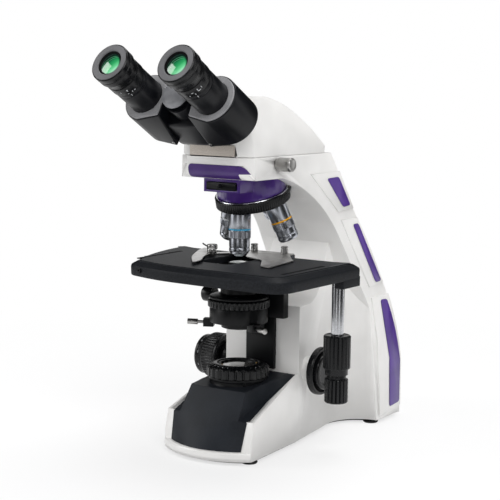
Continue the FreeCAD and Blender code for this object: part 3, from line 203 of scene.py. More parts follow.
def tubeAlong(path, radius, count=16):
    # circles of one radius carried along a line of points, each square to the line there
    p = np.asarray(path, float)
    way = np.gradient(p, axis=0)
    way /= np.linalg.norm(way, axis=1, keepdims=True)
    hint = np.array([0.0, 0, 1]) if abs(way[:, 2]).max() < 0.9 else np.array([1.0, 0, 0])
    side = np.cross(way, hint)
    side /= np.linalg.norm(side, axis=1, keepdims=True)
    up = np.cross(side, way)
    angle = np.arange(count) * 2 * math.pi / count
    ring = p[:, None] + radius * (side[:, None] * np.cos(angle)[None, :, None] + up[:, None] * np.sin(angle)[None, :,
            None])
    return ring.reshape(-1, 3), tubeFaces(len(p), count)


def rimBevel(made, width, segments, angle):  # mm and degrees
    bevel = made.modifiers.new("rim", "BEVEL")
    bevel.width, bevel.segments = width * 0.001, segments
    bevel.limit_method, bevel.angle_limit = "ANGLE", math.radians(angle)
    return bevel


def dressed(node, finish, rounding, corner=None, sharp=30.0, flat=0.5, lowest=-1.0, shortest=0.0):
    # a CAD solid's own shape: a merged copy with the edges sharper than sharp degrees rounded, which stands for the node;
    # corner is a larger radius in mm and the axis that the edges to be rounded by it run along; faces that turn by less
    # than flat degrees are joined; edges below lowest or under shortest (m) stay sharp
    source = frame["nodes"][node]
    mesh = source.data.copy()
    mesh.materials.clear()
    work = bmesh.new()
    work.from_mesh(mesh)
    bmesh.ops.remove_doubles(work, verts=work.verts, dist=2e-6)
    bmesh.ops.dissolve_degenerate(work, edges=work.edges, dist=2e-6)
    bmesh.ops.dissolve_limit(work, angle_limit=math.radians(flat), verts=work.verts, edges=work.edges)
    if corner:
        axis = Vector(corner[1])
        edges = [e for e in work.edges if len(e.link_faces) == 2 and e.is_convex and e.calc_face_angle(0) > 0.5
                 and abs((e.verts[1].co - e.verts[0].co).normalized().dot(axis)) > 0.9]
        bmesh.ops.bevel(work, geom=edges, offset=corner[0] * 0.001, segments=6, affect="EDGES", profile=0.5,
                clamp_overlap=True)
    weight = work.edges.layers.float.new("bevel_weight_edge")
    for edge in work.edges:
        high = min(edge.verts[0].co.z, edge.verts[1].co.z) > lowest and edge.calc_length() > shortest
        if high and len(edge.link_faces) == 2 and edge.calc_face_angle(0) > math.radians(sharp):
            edge[weight] = 1.0
    work.to_mesh(mesh)
    work.free()
    mesh.polygons.foreach_set("use_smooth", [True] * len(mesh.polygons))
    made = bpy.data.objects.new(node + "_skin", mesh)
    bpy.context.scene.collection.objects.link(made)
    mesh.materials.append(finish)
    if rounding:
        bevel = made.modifiers.new("rounding", "BEVEL")
        bevel.width, bevel.segments = rounding * 0.001, 2
        bevel.limit_method = "WEIGHT"
        bevel.use_clamp_overlap, bevel.harden_normals = False, True
        bevel.miter_outer = "MITER_ARC"
    else:
        mesh.set_sharp_from_angle(angle=math.radians(sharp))
    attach(made, source["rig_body"])
    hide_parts(node)


# finishes, all mixed from a few recipes


class Wire:  # one node socket; sums and products of wires add Math nodes
    def __init__(self, finish, socket):
        self.finish, self.socket = finish, socket

    def maths(self, operation, *values, clamp=False):
        settings = {"operation": operation, "use_clamp": clamp}
        made = self.finish.node("ShaderNodeMath", settings, dict(enumerate(values)))
        return Wire(self.finish, made.outputs[0])

    def __add__(self, other): return self.maths("ADD", self, other)
    def __radd__(self, other): return self.maths("ADD", other, self)
    def __sub__(self, other): return self.maths("SUBTRACT", self, other)
    def __rsub__(self, other): return self.maths("SUBTRACT", other, self)
    def __mul__(self, other): return self.maths("MULTIPLY", self, other)
    def __rmul__(self, other): return self.maths("MULTIPLY", other, self)
    def __truediv__(self, other): return self.maths("DIVIDE", self, other)
    def __abs__(self): return self.maths("ABSOLUTE", self)
    def power(self, other): return self.maths("POWER", self, other)
    def held(self): return self.maths("ADD", self, 0.0, clamp=True)


def tint(red, green, blue):  # screen colour 0..255 to the linear colour that a shader takes
    c = np.array([red, green, blue]) / 255
    linear = np.where(c <= 0.04045, c / 12.92, ((c + 0.055) / 1.055) ** 2.4)
    return (*(float(v) for v in linear), 1.0)


class Finish:
    def __init__(self, name, world=None):
        self.material = world or bpy.data.materials.new(name)
        self.material.use_nodes = True
        self.tree = self.material.node_tree
        self.tree.nodes.clear()
        self.end = self.node("ShaderNodeOutputWorld" if world else "ShaderNodeOutputMaterial")

    def node(self, kind, settings=None, values=None):
        made = self.tree.nodes.new(kind)
        for key, value in (settings or {}).items():
            if key == "stops":
                ramp = made.color_ramp
                while len(ramp.elements) < len(value):
                    ramp.elements.new(0.5)
                for element, (place, colour) in zip(ramp.elements, value):
                    element.position = place
                    element.color = colour
            else:
                setattr(made, key, value)
        for key, value in (values or {}).items():
            if isinstance(value, Wire):
                self.tree.links.new(value.socket, made.inputs[key])
            else:
                made.inputs[key].default_value = value
        return made

    def wire(self, kind, settings=None, values=None, out=0):
        return Wire(self, self.node(kind, settings, values).outputs[out])

    def here(self, centre=(0, 0, 0), turn=(0, 0, 0), size=(1, 1, 1)):  # the piece's own place, moved and turned
        spot = self.wire("ShaderNodeTexCoord", out="Object")
        if (tuple(centre), tuple(turn), tuple(size)) == ((0, 0, 0), (0, 0, 0), (1, 1, 1)):
            return spot
        return self.wire("ShaderNodeMapping", {"vector_type": "TEXTURE"},
                {0: spot, 1: tuple(centre), 2: tuple(turn), 3: tuple(size)})

    def noise(self, feature, detail=2.0, rough=0.5, spot=None):  # feature is the size of a blotch in mm
        return self.wire("ShaderNodeTexNoise", None, {"Vector": spot or self.here(), "Scale": 1000.0 / feature,
                "Detail": detail, "Roughness": rough})

    def cells(self, feature, kind="F1", spot=None):
        return self.wire("ShaderNodeTexVoronoi", {"feature": kind}, {"Vector": spot or self.here(),
                "Scale": 1000.0 / feature})

    def ramp(self, factor, stops):
        return self.wire("ShaderNodeValToRGB", {"stops": stops}, {0: factor})

    def level(self, factor, low, high, outLow=0.0, outHigh=1.0):  # one range carried onto another
        return self.wire("ShaderNodeMapRange", None, {0: factor, 1: low, 2: high, 3: outLow, 4: outHigh})

    def blend(self, factor, first, second):  # two colours
        return self.wire("ShaderNodeMix", {"data_type": "RGBA"}, {0: factor, 6: first, 7: second}, 2)

    def bump(self, height, depth, strength=1.0):  # depth in mm
        return self.wire("ShaderNodeBump", None, {"Height": height, "Distance": depth * 0.001, "Strength": strength})

    def surface(self, **sockets):  # baseColor is the socket Base Color, and so on
        values = {re.sub("(?=[A-Z])", " ", key).title().replace("Ior", "IOR"): value
                  for key, value in sockets.items()}
        made = self.node("ShaderNodeBsdfPrincipled", None, values)
        self.tree.links.new(made.outputs[0], self.end.inputs[0])
        return self.material

    def mixed(self, factor, first, second):  # two shaders into the output
        made = self.node("ShaderNodeMixShader", None, {0: factor, 1: first, 2: second})
        self.tree.links.new(made.outputs[0], self.end.inputs[0])

    def seen(self):  # 1 where the camera looks straight at it, in a reflection or through glass
        rays = self.node("ShaderNodeLightPath")
        camera, glossy, through = (Wire(self, rays.outputs["Is " + kind + " Ray"])
                                   for kind in ("Camera", "Glossy", "Transmission"))
        return (camera + glossy + through).held()


paint = {
    "white": (239, 238, 236), "whiteShade": (232, 231, 229), "whiteGloss": 0.3,
    "purple": (84, 50, 145), "purpleDark": (66, 36, 122), "housingPurple": (74, 38, 128),
    "crinkle": (7, 8, 9), "crinkleRidgeHighlight": (32, 34, 38), "cover": (24, 27, 32),
    "rimGrey": (86, 86, 88), "faceGrey": (118, 118, 120),
}


def whitePaint(name):  # stoved enamel: a faint orange peel under a clear gloss
    f = Finish(name)
    cloud = f.noise(38, 2.0)
    peel = f.noise(1.6, 1.0)
    speck = f.noise(0.5, 0.0)
    colour = f.blend(f.level(cloud, 0.35, 0.65), tint(*paint["white"]), tint(*paint["whiteShade"]))
    rough = paint["whiteGloss"] + 0.10 * cloud
    return f.surface(baseColor=colour, roughness=rough, coatWeight=0.25, coatRoughness=0.12, specularIorLevel=0.45,
                     normal=f.bump(peel + 0.3 * speck, 0.02, 0.35))


def colourPaint(name, light, dark, gloss=0.28, coat=0.4, spread=22):  # satin lacquer, a little deeper in patches
    f = Finish(name)
    cloud = f.noise(spread, 2.0)
    peel = f.noise(1.1, 1.0)
    colour = f.blend(f.level(cloud, 0.3, 0.7), tint(*light), tint(*dark))
    return f.surface(baseColor=colour, roughness=gloss + 0.08 * peel, coatWeight=coat, coatRoughness=0.15,
                     specularIorLevel=0.4, normal=f.bump(peel, 0.015, 0.3))


def blackPaint(name, tone=(8, 9, 11), gloss=0.34, grain=0.9, depth=0.015, shine=0.22):  # satin black, fine grain
    f = Finish(name)
    fine = f.noise(grain, 2.0, 0.6)
    cloud = f.noise(30, 2.0)
    base = tint(*tone)
    lifted = tuple(min(1.0, v * 1.7 + 0.002) for v in base[:3]) + (1.0,)
    colour = f.blend(f.level(cloud + 0.5 * fine, 0.5, 1.0), base, lifted)
    return f.surface(baseColor=colour, roughness=gloss + 0.12 * fine, specularIorLevel=shine,
                     normal=f.bump(fine, depth, 0.5))


def crinklePaint(name):  # wrinkle paint: raised worm-like ridges, coloured lighter where they stand high as a painted highlight
    f = Finish(name)
    warp = f.noise(2.2, 2.0)
    stray = f.wire("ShaderNodeTexNoise", None, {"Vector": f.here(), "Scale": 420.0}, out=1)
    shift = f.wire("ShaderNodeVectorMath", {"operation": "SCALE"}, {0: stray, 3: 0.0012})
    spot = f.wire("ShaderNodeVectorMath", {"operation": "ADD"}, {0: f.here(), 1: shift})
    ridge = f.cells(0.95, "SMOOTH_F1", spot)
    grit = f.noise(0.4, 2.0, 0.7)
    height = ridge + 0.35 * grit
    # painted highlight: lighter grey up the ridges where they would catch the light, and in random patches by the warp
    # noise
    colour = f.blend(f.level(height + 0.3 * warp, 0.25, 0.95), tint(*paint["crinkle"]), tint(*paint["crinkleRidgeHighlight"]))
    return f.surface(baseColor=colour, roughness=0.42 + 0.2 * grit, specularIorLevel=0.14,
            normal=f.bump(height, 0.08, 0.7))


def metal(name, tone, gloss, brush, shade):  # plated steel: fine brush lines, long along z and short across it
    f = Finish(name)
    lines = f.noise(0.35, 3.0, 0.7, f.here(size=(1.0, 1.0, 25.0)))
    cloud = f.noise(9, 2.0)
    colour = f.blend(f.level(cloud + 0.4 * lines, 0.4, 1.0), tint(*tone), tint(*shade))
    return f.surface(baseColor=colour, metallic=1.0, roughness=gloss + brush * lines + 0.03 * cloud,
            normal=f.bump(f.noise(4.0, 1.0), 0.002, 0.2))


def anodised(name, tone, gloss, metallic):  # coloured band or part with a dull metal sheen
    f = Finish(name)
    fine = f.noise(0.5, 2.0)
    base = tint(*tone)
    dark = tuple(v * 0.82 for v in base[:3]) + (1.0,)
    return f.surface(baseColor=f.blend(f.level(fine, 0.3, 0.7), base, dark), metallic=metallic,
            roughness=gloss + 0.1 * fine, normal=f.bump(fine, 0.005, 0.2))


def speckled(name):  # beige plastic with fine darker specks
    f = Finish(name)
    speck = f.noise(0.9, 3.0, 0.7)
    cloud = f.noise(14, 2.0)
    colour = f.blend(f.level(speck, 0.35, 0.7), tint(214, 206, 196), tint(176, 166, 156))
    colour = f.blend(f.level(cloud, 0.4, 0.7, 0.0, 0.35), colour, tint(196, 188, 178))
    return f.surface(baseColor=colour, roughness=0.45 + 0.15 * speck, specularIorLevel=0.35,
            normal=f.bump(speck, 0.03, 0.4))


def rubber(name, tone):  # dull, with a fine grain
    f = Finish(name)
    fine = f.noise(0.6, 3.0, 0.7)
    base = tint(*tone)
    return f.surface(baseColor=f.blend(f.level(fine, 0.3, 0.8), base, tuple(v * 1.8 for v in base[:3]) + (1.0,)),
                     roughness=0.62 + 0.2 * fine, specularIorLevel=0.3, normal=f.bump(fine, 0.05, 0.5))


whiteEnamel = whitePaint("white_enamel")
purpleLacquer = colourPaint("purple_lacquer", paint["purple"], paint["purpleDark"], gloss=0.34, coat=0.2)
housingLacquer = colourPaint("housing_purple", paint["housingPurple"], (58, 28, 108), gloss=0.3, coat=0.35)
fasciaLacquer = colourPaint("fascia_purple", (72, 42, 116), (60, 32, 104), gloss=0.36, coat=0.2)
satinBlack = blackPaint("satin_black")
headBlack = blackPaint("head_black", (8, 9, 13), 0.28, 1.1, 0.012, 0.26)
coverBlack = blackPaint("cover_black", paint["cover"], 0.42, 1.2, 0.02, 0.2)
knobBlack = blackPaint("knob_black", (7, 8, 10), 0.22, 0.9, 0.01, 0.32)
deepBlack = blackPaint("matt_black", (6, 6, 7), 0.7, 0.9, 0.02, 0.08)
stageCrinkle = crinklePaint("stage_wrinkle_paint")
chrome = metal("bright_chrome", (214, 215, 218), 0.2, 0.03, (188, 190, 194))
steel = metal("brushed_steel", (196, 195, 193), 0.24, 0.12, (160, 159, 157))
objectiveMetal = metal("objective_barrel", (202, 205, 212), 0.25, 0.03, (176, 180, 188))
darkMetal = metal("gunmetal", (92, 93, 98), 0.3, 0.1, (66, 67, 72))
rimGrey = blackPaint("grey_rim", paint["rimGrey"], 0.5, 0.8, 0.02, 0.3)
faceGrey = blackPaint("grey_face", paint["faceGrey"], 0.4, 1.2, 0.015, 0.35)
beige = speckled("speckled_beige")
footRubber = rubber("foot_rubber", (15, 15, 16))
yellowBand = anodised("yellow_band", (238, 170, 30), 0.3, 0.1)
blueBand = anodised("light_blue_band", (74, 174, 214), 0.3, 0.1)
redBand = anodised("red_band", (200, 40, 36), 0.3, 0.1)
whiteBand = anodised("white_band", (226, 228, 230), 0.3, 0.05)
engraved = anodised("white_marks", (206, 208, 212), 0.5, 0.0)
greyMarks = anodised("grey_marks", (128, 130, 136), 0.5, 0.0)
plateGrey = colourPaint("plate_grey", (150, 151, 154), (132, 133, 137), 0.35, 0.2, 8)
print("finishes mixed")


# CAD solids whose shape is right, with their edges rounded

dress = {  # finish: its nodes, with their edge rounding in mm
    whiteEnamel: {"arm_casting": 0.35, "nosepiece_fascia": 0.6, "head_shell": 1.2},
    purpleLacquer: {"side_inlays": 0.5}, housingLacquer: {"nosepiece_housing": 0.5}, beige: {"head_insert": 0.3},
    deepBlack: {"bottom_plate": 0.3, "lamp_module": 0}, footRubber: {"feet": 0.4}, darkMetal: {"turret_plate": 0.3},
    satinBlack: {"rear_panel": 0.3, "focus_guide": 0.3, "stage_bracket": 0.4, "lower_stage_plate": 0.4,
                 "condenser_carrier": 0.3, "slot_plug": 0.3},
    knobBlack: {"tension_ring": 0.3, "condenser_knob": 0.3, "brightness_dial": 0.3, "power_rocker": 0.3},
    steel: {"centring_screw_left": 0.15, "centring_screw_right": 0.15},
}
special = {
    "side_inlays": {"corner": (3.2, (1, 0, 0))}, "nosepiece_fascia": {"corner": (9.0, (0, 1, 0))},
    "arm_casting": {"lowest": 0.0045, "shortest": 0.0015, "flat": 0.05},
}
for finish, nodes in dress.items():
    for node, rounding in nodes.items():
        dressed(node, finish, rounding, **special.get(node, {}))
print("solids dressed")


# the binocular head: both tubes are made in the frame of an eyepiece

slant = math.radians(30)
eyeAxes = ((1.0, 0, 0), (0, math.sin(slant), math.cos(slant)), (0, -math.cos(slant), math.sin(slant)))
eyeCentre = np.array([0, -152.2, 374.5])


def eyeFrame(x=0.0):  # z runs up the tube towards the eye, y up, x to the right
    return eyeCentre + np.array([x, 0, 0]), np.array(eyeAxes)


def arcPatch(radius, start, end, low, high, where, thick=0.08, steps=4):  # a thin plate that lies on a cylinder
    a = np.radians(np.linspace(start, end, steps))[:, None]
    r = np.array([radius - 0.05, radius + thick, radius + thick, radius - 0.05])[None, :]
    h = np.broadcast_to(np.array([low, low, high, high])[None, :], (steps, 4))
    points = np.stack([r * np.cos(a), r * np.sin(a), h], -1).reshape(-1, 3)
    faces = [tuple(q) for q in gridFaces(steps, 4, closeCols=True)] + [(0, 1, 2, 3),
            tuple(range(4 * steps - 4, 4 * steps))[::-1]]
    return placed(points, where), faces


head = {
    "eyeX": 36.7, "sleeveRadius": 16.7,
    "housingRadius": 24.0, "housingRear": -104.0, "housingFront": -62.4, "rearRound": 1.3, "frontRound": 0.9,
    # the outline's round part and its two corners
    "arc": (-84, 138), "heel": (-21.3, 5.0), "low": (-20.4, -18.6), "dive": 8.5,
    "knuckles": {"left": (-63.4, -82.4), "right": (-83.0, -103.0)}, "knuckleOuter": 14.5, "knuckleBore": 10.1,
    "webNear": 8.5, "webFar": 19.0, "webHalf": 8.0, "plateInset": 1.3, "plateGap": 0.12,
    "plateLevels": (-62.6, -61.5, -61.0),
}


def housingOutline(side, shrink=0.0, dive=0.0):
    # a circle with one corner low down towards the hinge; dive lowers that corner and the edge that leads to it
    radius = head["housingRadius"] - shrink
    a = np.radians(np.linspace(*head["arc"], 46))
    arc = np.stack([radius * np.cos(a), radius * np.sin(a)], -1)
    (heelX, heelY), (lowX, lowY) = head["heel"], head["low"]
    corners = np.array([[heelX + shrink, heelY], [lowX + shrink + 0.28 * dive, lowY + shrink * 0.7 - dive]])
    rest = softened(np.concatenate([arc[-1:], corners, arc[:1]]), [0, 8, 1.3, 0], 8)[1:-1]
    outline = np.concatenate([arc, rest])
    outline[:, 0] = (outline[:, 0] + head["eyeX"]) * side
    return outline if side > 0 else outline[::-1]


eyepiece = {  # profiles of (radius, height) in an eyepiece's frame
    "sleeve": [(0, -66), (16.7, -66), (16.7, -60.6), (16.35, -60.4), (16.35, -59.6), (16.7, -59.4), (16.7, -36.2),
               (16.4, -35.9), (16.4, -35.2), (16.7, -34.9), (16.7, -30.3), (0, -30.3)],
    "collar": [(15.8, -29.8), (17.3, -29.8), (17.3, -20.1), (15.8, -20.1)],
    "ribs": 72, "ribDepth": 0.22, "ribTop": -27.6, "ribFrom": 17.1,
    "barrel": [(0, -34), (15.6, -34), (15.6, -19.7), (16.9, -19.7), (16.9, -17.9), (18.3, -12.6), (18.65, -12.2),
               (18.65, -7.0), (18.25, -6.8), (18.25, -6.1), (18.8, -5.9), (18.8, -1.1), (17.9, -0.35), (17.2, -0.3),
               (17.0, -3.6), (0, -3.6)],
    "rim": [(11.6, -3.4), (17.25, -3.4), (17.75, -0.55), (17.3, -0.02), (12.7, -0.02), (12.0, -0.75)],
    "seat": [(9.9, -3.2), (12.4, -3.2), (12.2, -1.2), (11.3, -1.6), (10.4, -2.2)],
    "lensRadius": 10.6, "lensTop": -1.55, "lensFall": 1.15, "lensFoot": -3.1,
}


def fineRibs(angle, radius, height):  # shallow ribs round the lower part of the diopter collar
    wave = eyepiece["ribDepth"] * (0.5 + 0.5 * np.cos(eyepiece["ribs"] * angle))
    return radius - np.where((height < eyepiece["ribTop"]) & (radius > eyepiece["ribFrom"]), wave, 0)


def makeTube(side, title):
    x, e = head["eyeX"] * side, eyepiece
    where, hinge = eyeFrame(x), eyeFrame(0)
    body = title + "_tube"
    shell = slab(housingOutline(side), head["housingRear"], head["housingFront"], head["rearRound"], hinge, 6,
                 head["frontRound"], housingOutline(side, 0.0, head["dive"]))
    (top, foot), outer, bore = head["knuckles"][title], head["knuckleOuter"], head["knuckleBore"]
    knuckle = ringed(softened([(bore, foot), (outer, foot), (outer, top), (bore, top)], 0.7, 4, True), hinge, 64)
    (near, far), half = sorted((head["webNear"] * side, head["webFar"] * side)), head["webHalf"]
    web = slab([(near, -half), (far, -half), (far, half), (near, half)], foot + 0.2, top - 0.2, 0.8, hinge)
    sleeve = turned(softened(e["sleeve"], 0.25, 3), where, 96)
    piece(title + "_prism_housing", [shell, knuckle, web, sleeve], body, headBlack, 40, (title + "_housing",))

    # the end plate: loops between the housing's outline and the sleeve
    outer = housingOutline(side, head["plateInset"])
    count = len(outer)
    around = np.unwrap(np.arctan2(outer[:, 1], outer[:, 0] - x))
    hole = head["sleeveRadius"] + head["plateGap"]
    inner = np.stack([x + hole * np.cos(around), hole * np.sin(around)], -1)
    foot, shoulder, face = head["plateLevels"]
    loops = [(outer, foot), (outer, shoulder), (inset(outer, 0.5), face), (inner + (inner - [x, 0]) * 0.02, face),
             (inner, shoulder + 0.2), (inner, foot)]
    points = np.concatenate([np.column_stack([loop, np.full(count, h)]) for loop, h in loops])
    piece(title + "_end_plate", [(placed(points, hinge), gridFaces(len(loops), count, closeRows=True,
            closeCols=True))],
          body, faceGrey, 30, (title + "_face",))

    ring = ringed(softened(e["collar"], 0.45, 4, True), where, 144, fineRibs)
    piece(title + "_diopter_collar", [ring], title + "_diopter_ring", knobBlack, 40, (title + "_diopter",))

    piece(title + "_eyepiece_barrel", [turned(softened(e["barrel"], 0.3, 4), where, 112)], body, knobBlack, 40)

    piece(title + "_eye_rim", [ringed(softened(e["rim"], 0.3, 4, True), where, 112)], body, rimGrey, 40,
            (title + "_eyepiece",))
    piece(title + "_lens_seat", [ringed(softened(e["seat"], 0.15, 3, True), where, 96)], body, deepBlack, 40)


for side, title in ((-1, "left"), (1, "right")):
    makeTube(side, title)


def paintedReflectionGlass(name, x):
    # coated green glass with painted light in its colour: painted shade deepest at one side, a painted highlight where
    # the lower edge is bright, painted reflections of the lenses inside as dark and light arcs, painted shade towards
    # the rim and a painted glow; u runs right and v up the face of the glass, both in mm
    f = Finish(name)
    angle = Matrix(np.array(eyeAxes).T.tolist()).to_euler()
    centre = (eyeCentre + np.array([x, 0, -1]) + axisShift) * 0.001
    spot = f.here(centre=tuple(centre), turn=tuple(angle))
    parts = f.node("ShaderNodeSeparateXYZ", None, {0: spot})
    u, v = Wire(f, parts.outputs[0]) * 1000.0, Wire(f, parts.outputs[1]) * 1000.0
    slope = u * 0.75 - v * 0.66  # from the painted shade side to the painted highlight side, in mm
    across = u * 0.66 + v * 0.75
    rise = f.level(slope, -9.0, 8.0)
    # painted shade and highlight: greens from dark to bright along the slope
    shadeToHighlightGreens = ((0.0, (10, 22, 20)), (0.2, (16, 52, 36)), (0.42, (24, 112, 66)), (0.68, (44, 150, 88)),
            (0.9, (98, 196, 136)), (1.0, (150, 214, 176)))
    base = f.ramp(rise, [(place, tint(*colour)) for place, colour in shadeToHighlightGreens])

    def arc(offset, width, radius):  # a thin circle arc of painted reflection, its centre far to the painted highlight side
        away = ((slope - (offset + radius)) * (slope - (offset + radius)) + across * across).power(0.5)
        return (1.0 - (abs(away - radius) / width)).held()

    # painted reflections of the inner lenses: dark arcs, and light arcs as painted highlights
    dark = (arc(-4.8, 0.55, 13.0) + arc(-2.6, 0.4, 14.0) * 0.8 + arc(-7.2, 1.0, 12.0)).held()
    light = (arc(-3.7, 0.35, 13.5) * 0.5 + arc(-6.0, 0.5, 12.5) * 0.35).held()
    colour = f.blend(dark * 0.75, base, tint(8, 30, 22))
    colour = f.blend(light, colour, tint(120, 190, 150))
    # painted shade: darker towards the rim of the glass
    away = (u * u + v * v).power(0.5)
    colour = f.blend(f.level(away, 8.6, 10.2), colour, tint(12, 34, 28))
    # painted glow: the glass gives off part of its colour as light, though it is no lamp
    glow = f.blend(0.62, tint(0, 0, 0), colour)
    return f.surface(baseColor=colour, roughness=0.04 + 0.02 * f.noise(3.0), specularIorLevel=0.5, coatWeight=0.6,
            coatRoughness=0.02, emissionColor=glow, emissionStrength=0.35)


marks = {  # on the diopter collars: angle, half width (degrees), low, high (mm)
    "left": ((-58, 0.7, -26.0, -23.2), (-58, 3.0, -24.4, -23.9), (-38, 2.4, -28.9, -28.3), (-62, 2.0, -28.9, -28.4),
             (-47, 0.8, -29.2, -27.4), (-80, 0.8, -25.4, -24.0)),
    "right": ((-44, 0.7, -26.4, -22.8), (-40, 5.5, -26.6, -26.1), (-63, 3.2, -25.2, -24.6), (-57, 0.8, -28.6, -26.6),
              (-76, 0.8, -28.4, -27.2), (-30, 0.7, -25.8, -23.6)),
}
for side, title in ((-1, "left"), (1, "right")):
    where, body, e = eyeFrame(head["eyeX"] * side), title + "_tube", eyepiece
    radius = np.linspace(0, e["lensRadius"], 14)
    top = np.stack([radius, e["lensTop"] - e["lensFall"] * (radius / e["lensRadius"]) ** 2], -1)
    lens = turned(np.concatenate([top, [(e["lensRadius"], e["lensFoot"]), (0, e["lensFoot"])]]), where, 72)
    glass = paintedReflectionGlass(title + "_coated_glass", head["eyeX"] * side)
    piece(title + "_coated_lens", [lens], body, glass, 50, (title + "_eye_lens",))
    signs = [arcPatch(17.3, angle - half, angle + half, low, high, where) for angle, half, low, high in marks[title]]
    piece(title + "_diopter_marks", signs, title + "_diopter_ring", engraved, 30)
    piece(title + "_zero_mark", [arcPatch(head["sleeveRadius"], -58.8, -57.2, -33.6, -31.2, where)], body, engraved,
            30)


def bar(x0, x1, y0, y1, turn=0.0):  # the corners of an upright rectangle, turned by an angle in degrees
    c, s = math.cos(math.radians(turn)), math.sin(math.radians(turn))
    return np.array([(x0, y0), (x1, y0), (x1, y1), (x0, y1)]) @ np.array([[c, s], [-s, c]])


def screwHead(centre, normal, radius):  # a countersunk cross-head screw: a shallow dish with a black cross on it, painted shade that stands for the cross recess
    where, depth, arm = frameOf(centre, normal), 0.5, radius * 0.62
    dish = turned(softened([(0, 0.12), (radius * 0.72, 0.16), (radius, 0.0), (radius * 1.02, -depth), (0, -depth)],
            0.15, 3), where, 36)
    return dish, [slab(bar(-arm, arm, -0.2, 0.2, turn), 0.0, 0.22, 0.03, where, 1) for turn in (0, 90)]


hinge = eyeFrame(0)
dome = [(0, -49.5), (4, -49.6), (8.5, -50.4), (11.8, -52.0), (13.5, -54.2), (13.8, -56.9), (12.9, -57.4), (0, -57.4)]
piece("hinge_dome", [turned(softened(dome, 0.6, 4), hinge, 72)], "head", plateGrey, 40, ("hinge_cap",))

scale = {"inner": 14.1, "outer": 15.4, "from": 52.0, "to": 172.0, "top": -60.2, "foot": -62.9, "dots": 14.8}
a = np.radians(np.linspace(scale["from"], scale["to"], 40))
way = np.stack([np.cos(a), np.sin(a)], -1)
strip = softened(np.concatenate([way * scale["outer"], way[::-1] * scale["inner"]]), 0.8, 3, True)
piece("distance_scale", [slab(strip, scale["foot"], scale["top"], 0.4, hinge)], "left_tube", faceGrey, 30)
dots, spokes = [], []
for angle in np.radians(range(66, 166, 9)):
    spot = np.array([scale["dots"] * math.cos(angle), scale["dots"] * math.sin(angle), 0])
    dots.append(turned([(0, -60.25), (0.3, -60.25), (0.3, -60.12), (0, -60.12)], (placed(spot, hinge), hinge[1]), 12))
piece("distance_dots", dots, "left_tube", deepBlack, 30)
for angle in (118, 128, 138, 148, 158):
    spokes.append(slab(bar(9.4, 12.1 if angle == 138 else 11.2, -0.22, 0.22, angle), -52.6, -50.5, 0.05, hinge, 1))
piece("dome_marks", spokes, "head", engraved, 30)
print("binocular head built")


# the nosepiece: turret, objectives and lock screw

lean = math.radians(17)
turretAxes = ((1.0, 0, 0), (0, math.cos(lean), math.sin(lean)), (0, -math.sin(lean), math.cos(lean)))
turretFrame = (np.array([0, 23.43, 240.86]), np.array(turretAxes))
seatRadius = 24.5


# the frame of the objective at one seat: the first one's upright frame turned about the turret's axis
def seatFrame(turn):
    n = turretFrame[1][2]
    c, s = math.cos(math.radians(turn)), math.sin(math.radians(turn))
    cross = np.array([[0, -n[2], n[1]], [n[2], 0, -n[0]], [-n[1], n[0], 0]])
    spin = np.eye(3) * c + cross * s + np.outer(n, n) * (1 - c)
    start = turretFrame[0] - seatRadius * turretFrame[1][1]
    return turretFrame[0] + spin @ (start - turretFrame[0]), np.eye(3) @ spin.T


def knurl(count, low, high, depth):  # straight ribs between two heights
    def change(angle, radius, height):
        inside = (height > low) & (height < high)
        return radius - np.where(inside, depth * (0.5 + 0.5 * np.cos(count * angle)), 0)
    return change


turretRing = {
    "grip": [(33, 1.0), (35.8, 1.0), (36.9, 1.9), (36.95, 2.3), (37.0, 2.35), (37.0, 10.6), (36.95, 10.65),
            (36.7, 11.3), (35.9, 11.9), (33, 11.9)],
    "rim": [(34.1, 11.7), (36.15, 11.7), (35.75, 12.3), (34.1, 12.3)],
    "ribs": (96, 2.32, 10.62, 0.55),
}
grip = ringed(softened(turretRing["grip"], 0.2, 3, True), turretFrame, 480, knurl(*turretRing["ribs"]))
piece("turret_grip", [grip], "turret", knobBlack, 50, ("turret_ring",))
rim = ringed(softened(turretRing["rim"], 0.12, 3, True), turretFrame, 128)
piece("turret_bright_rim", [rim], "turret", chrome, 40)

objectives = {
    # name: seat, length, band finish, body of a sprung front, front radius, tip radius
    "objective_40": (0, 43.3, blueBand, "front_40", 10.15, 3.6),
    "objective_10": (90, 37.8, yellowBand, None, 10.3, 7.2),
    "objective_4": (180, 28.0, redBand, None, 10.3, 8.0),
    "objective_100": (-90, 43.3, whiteBand, "front_100", 10.15, 3.4),
}


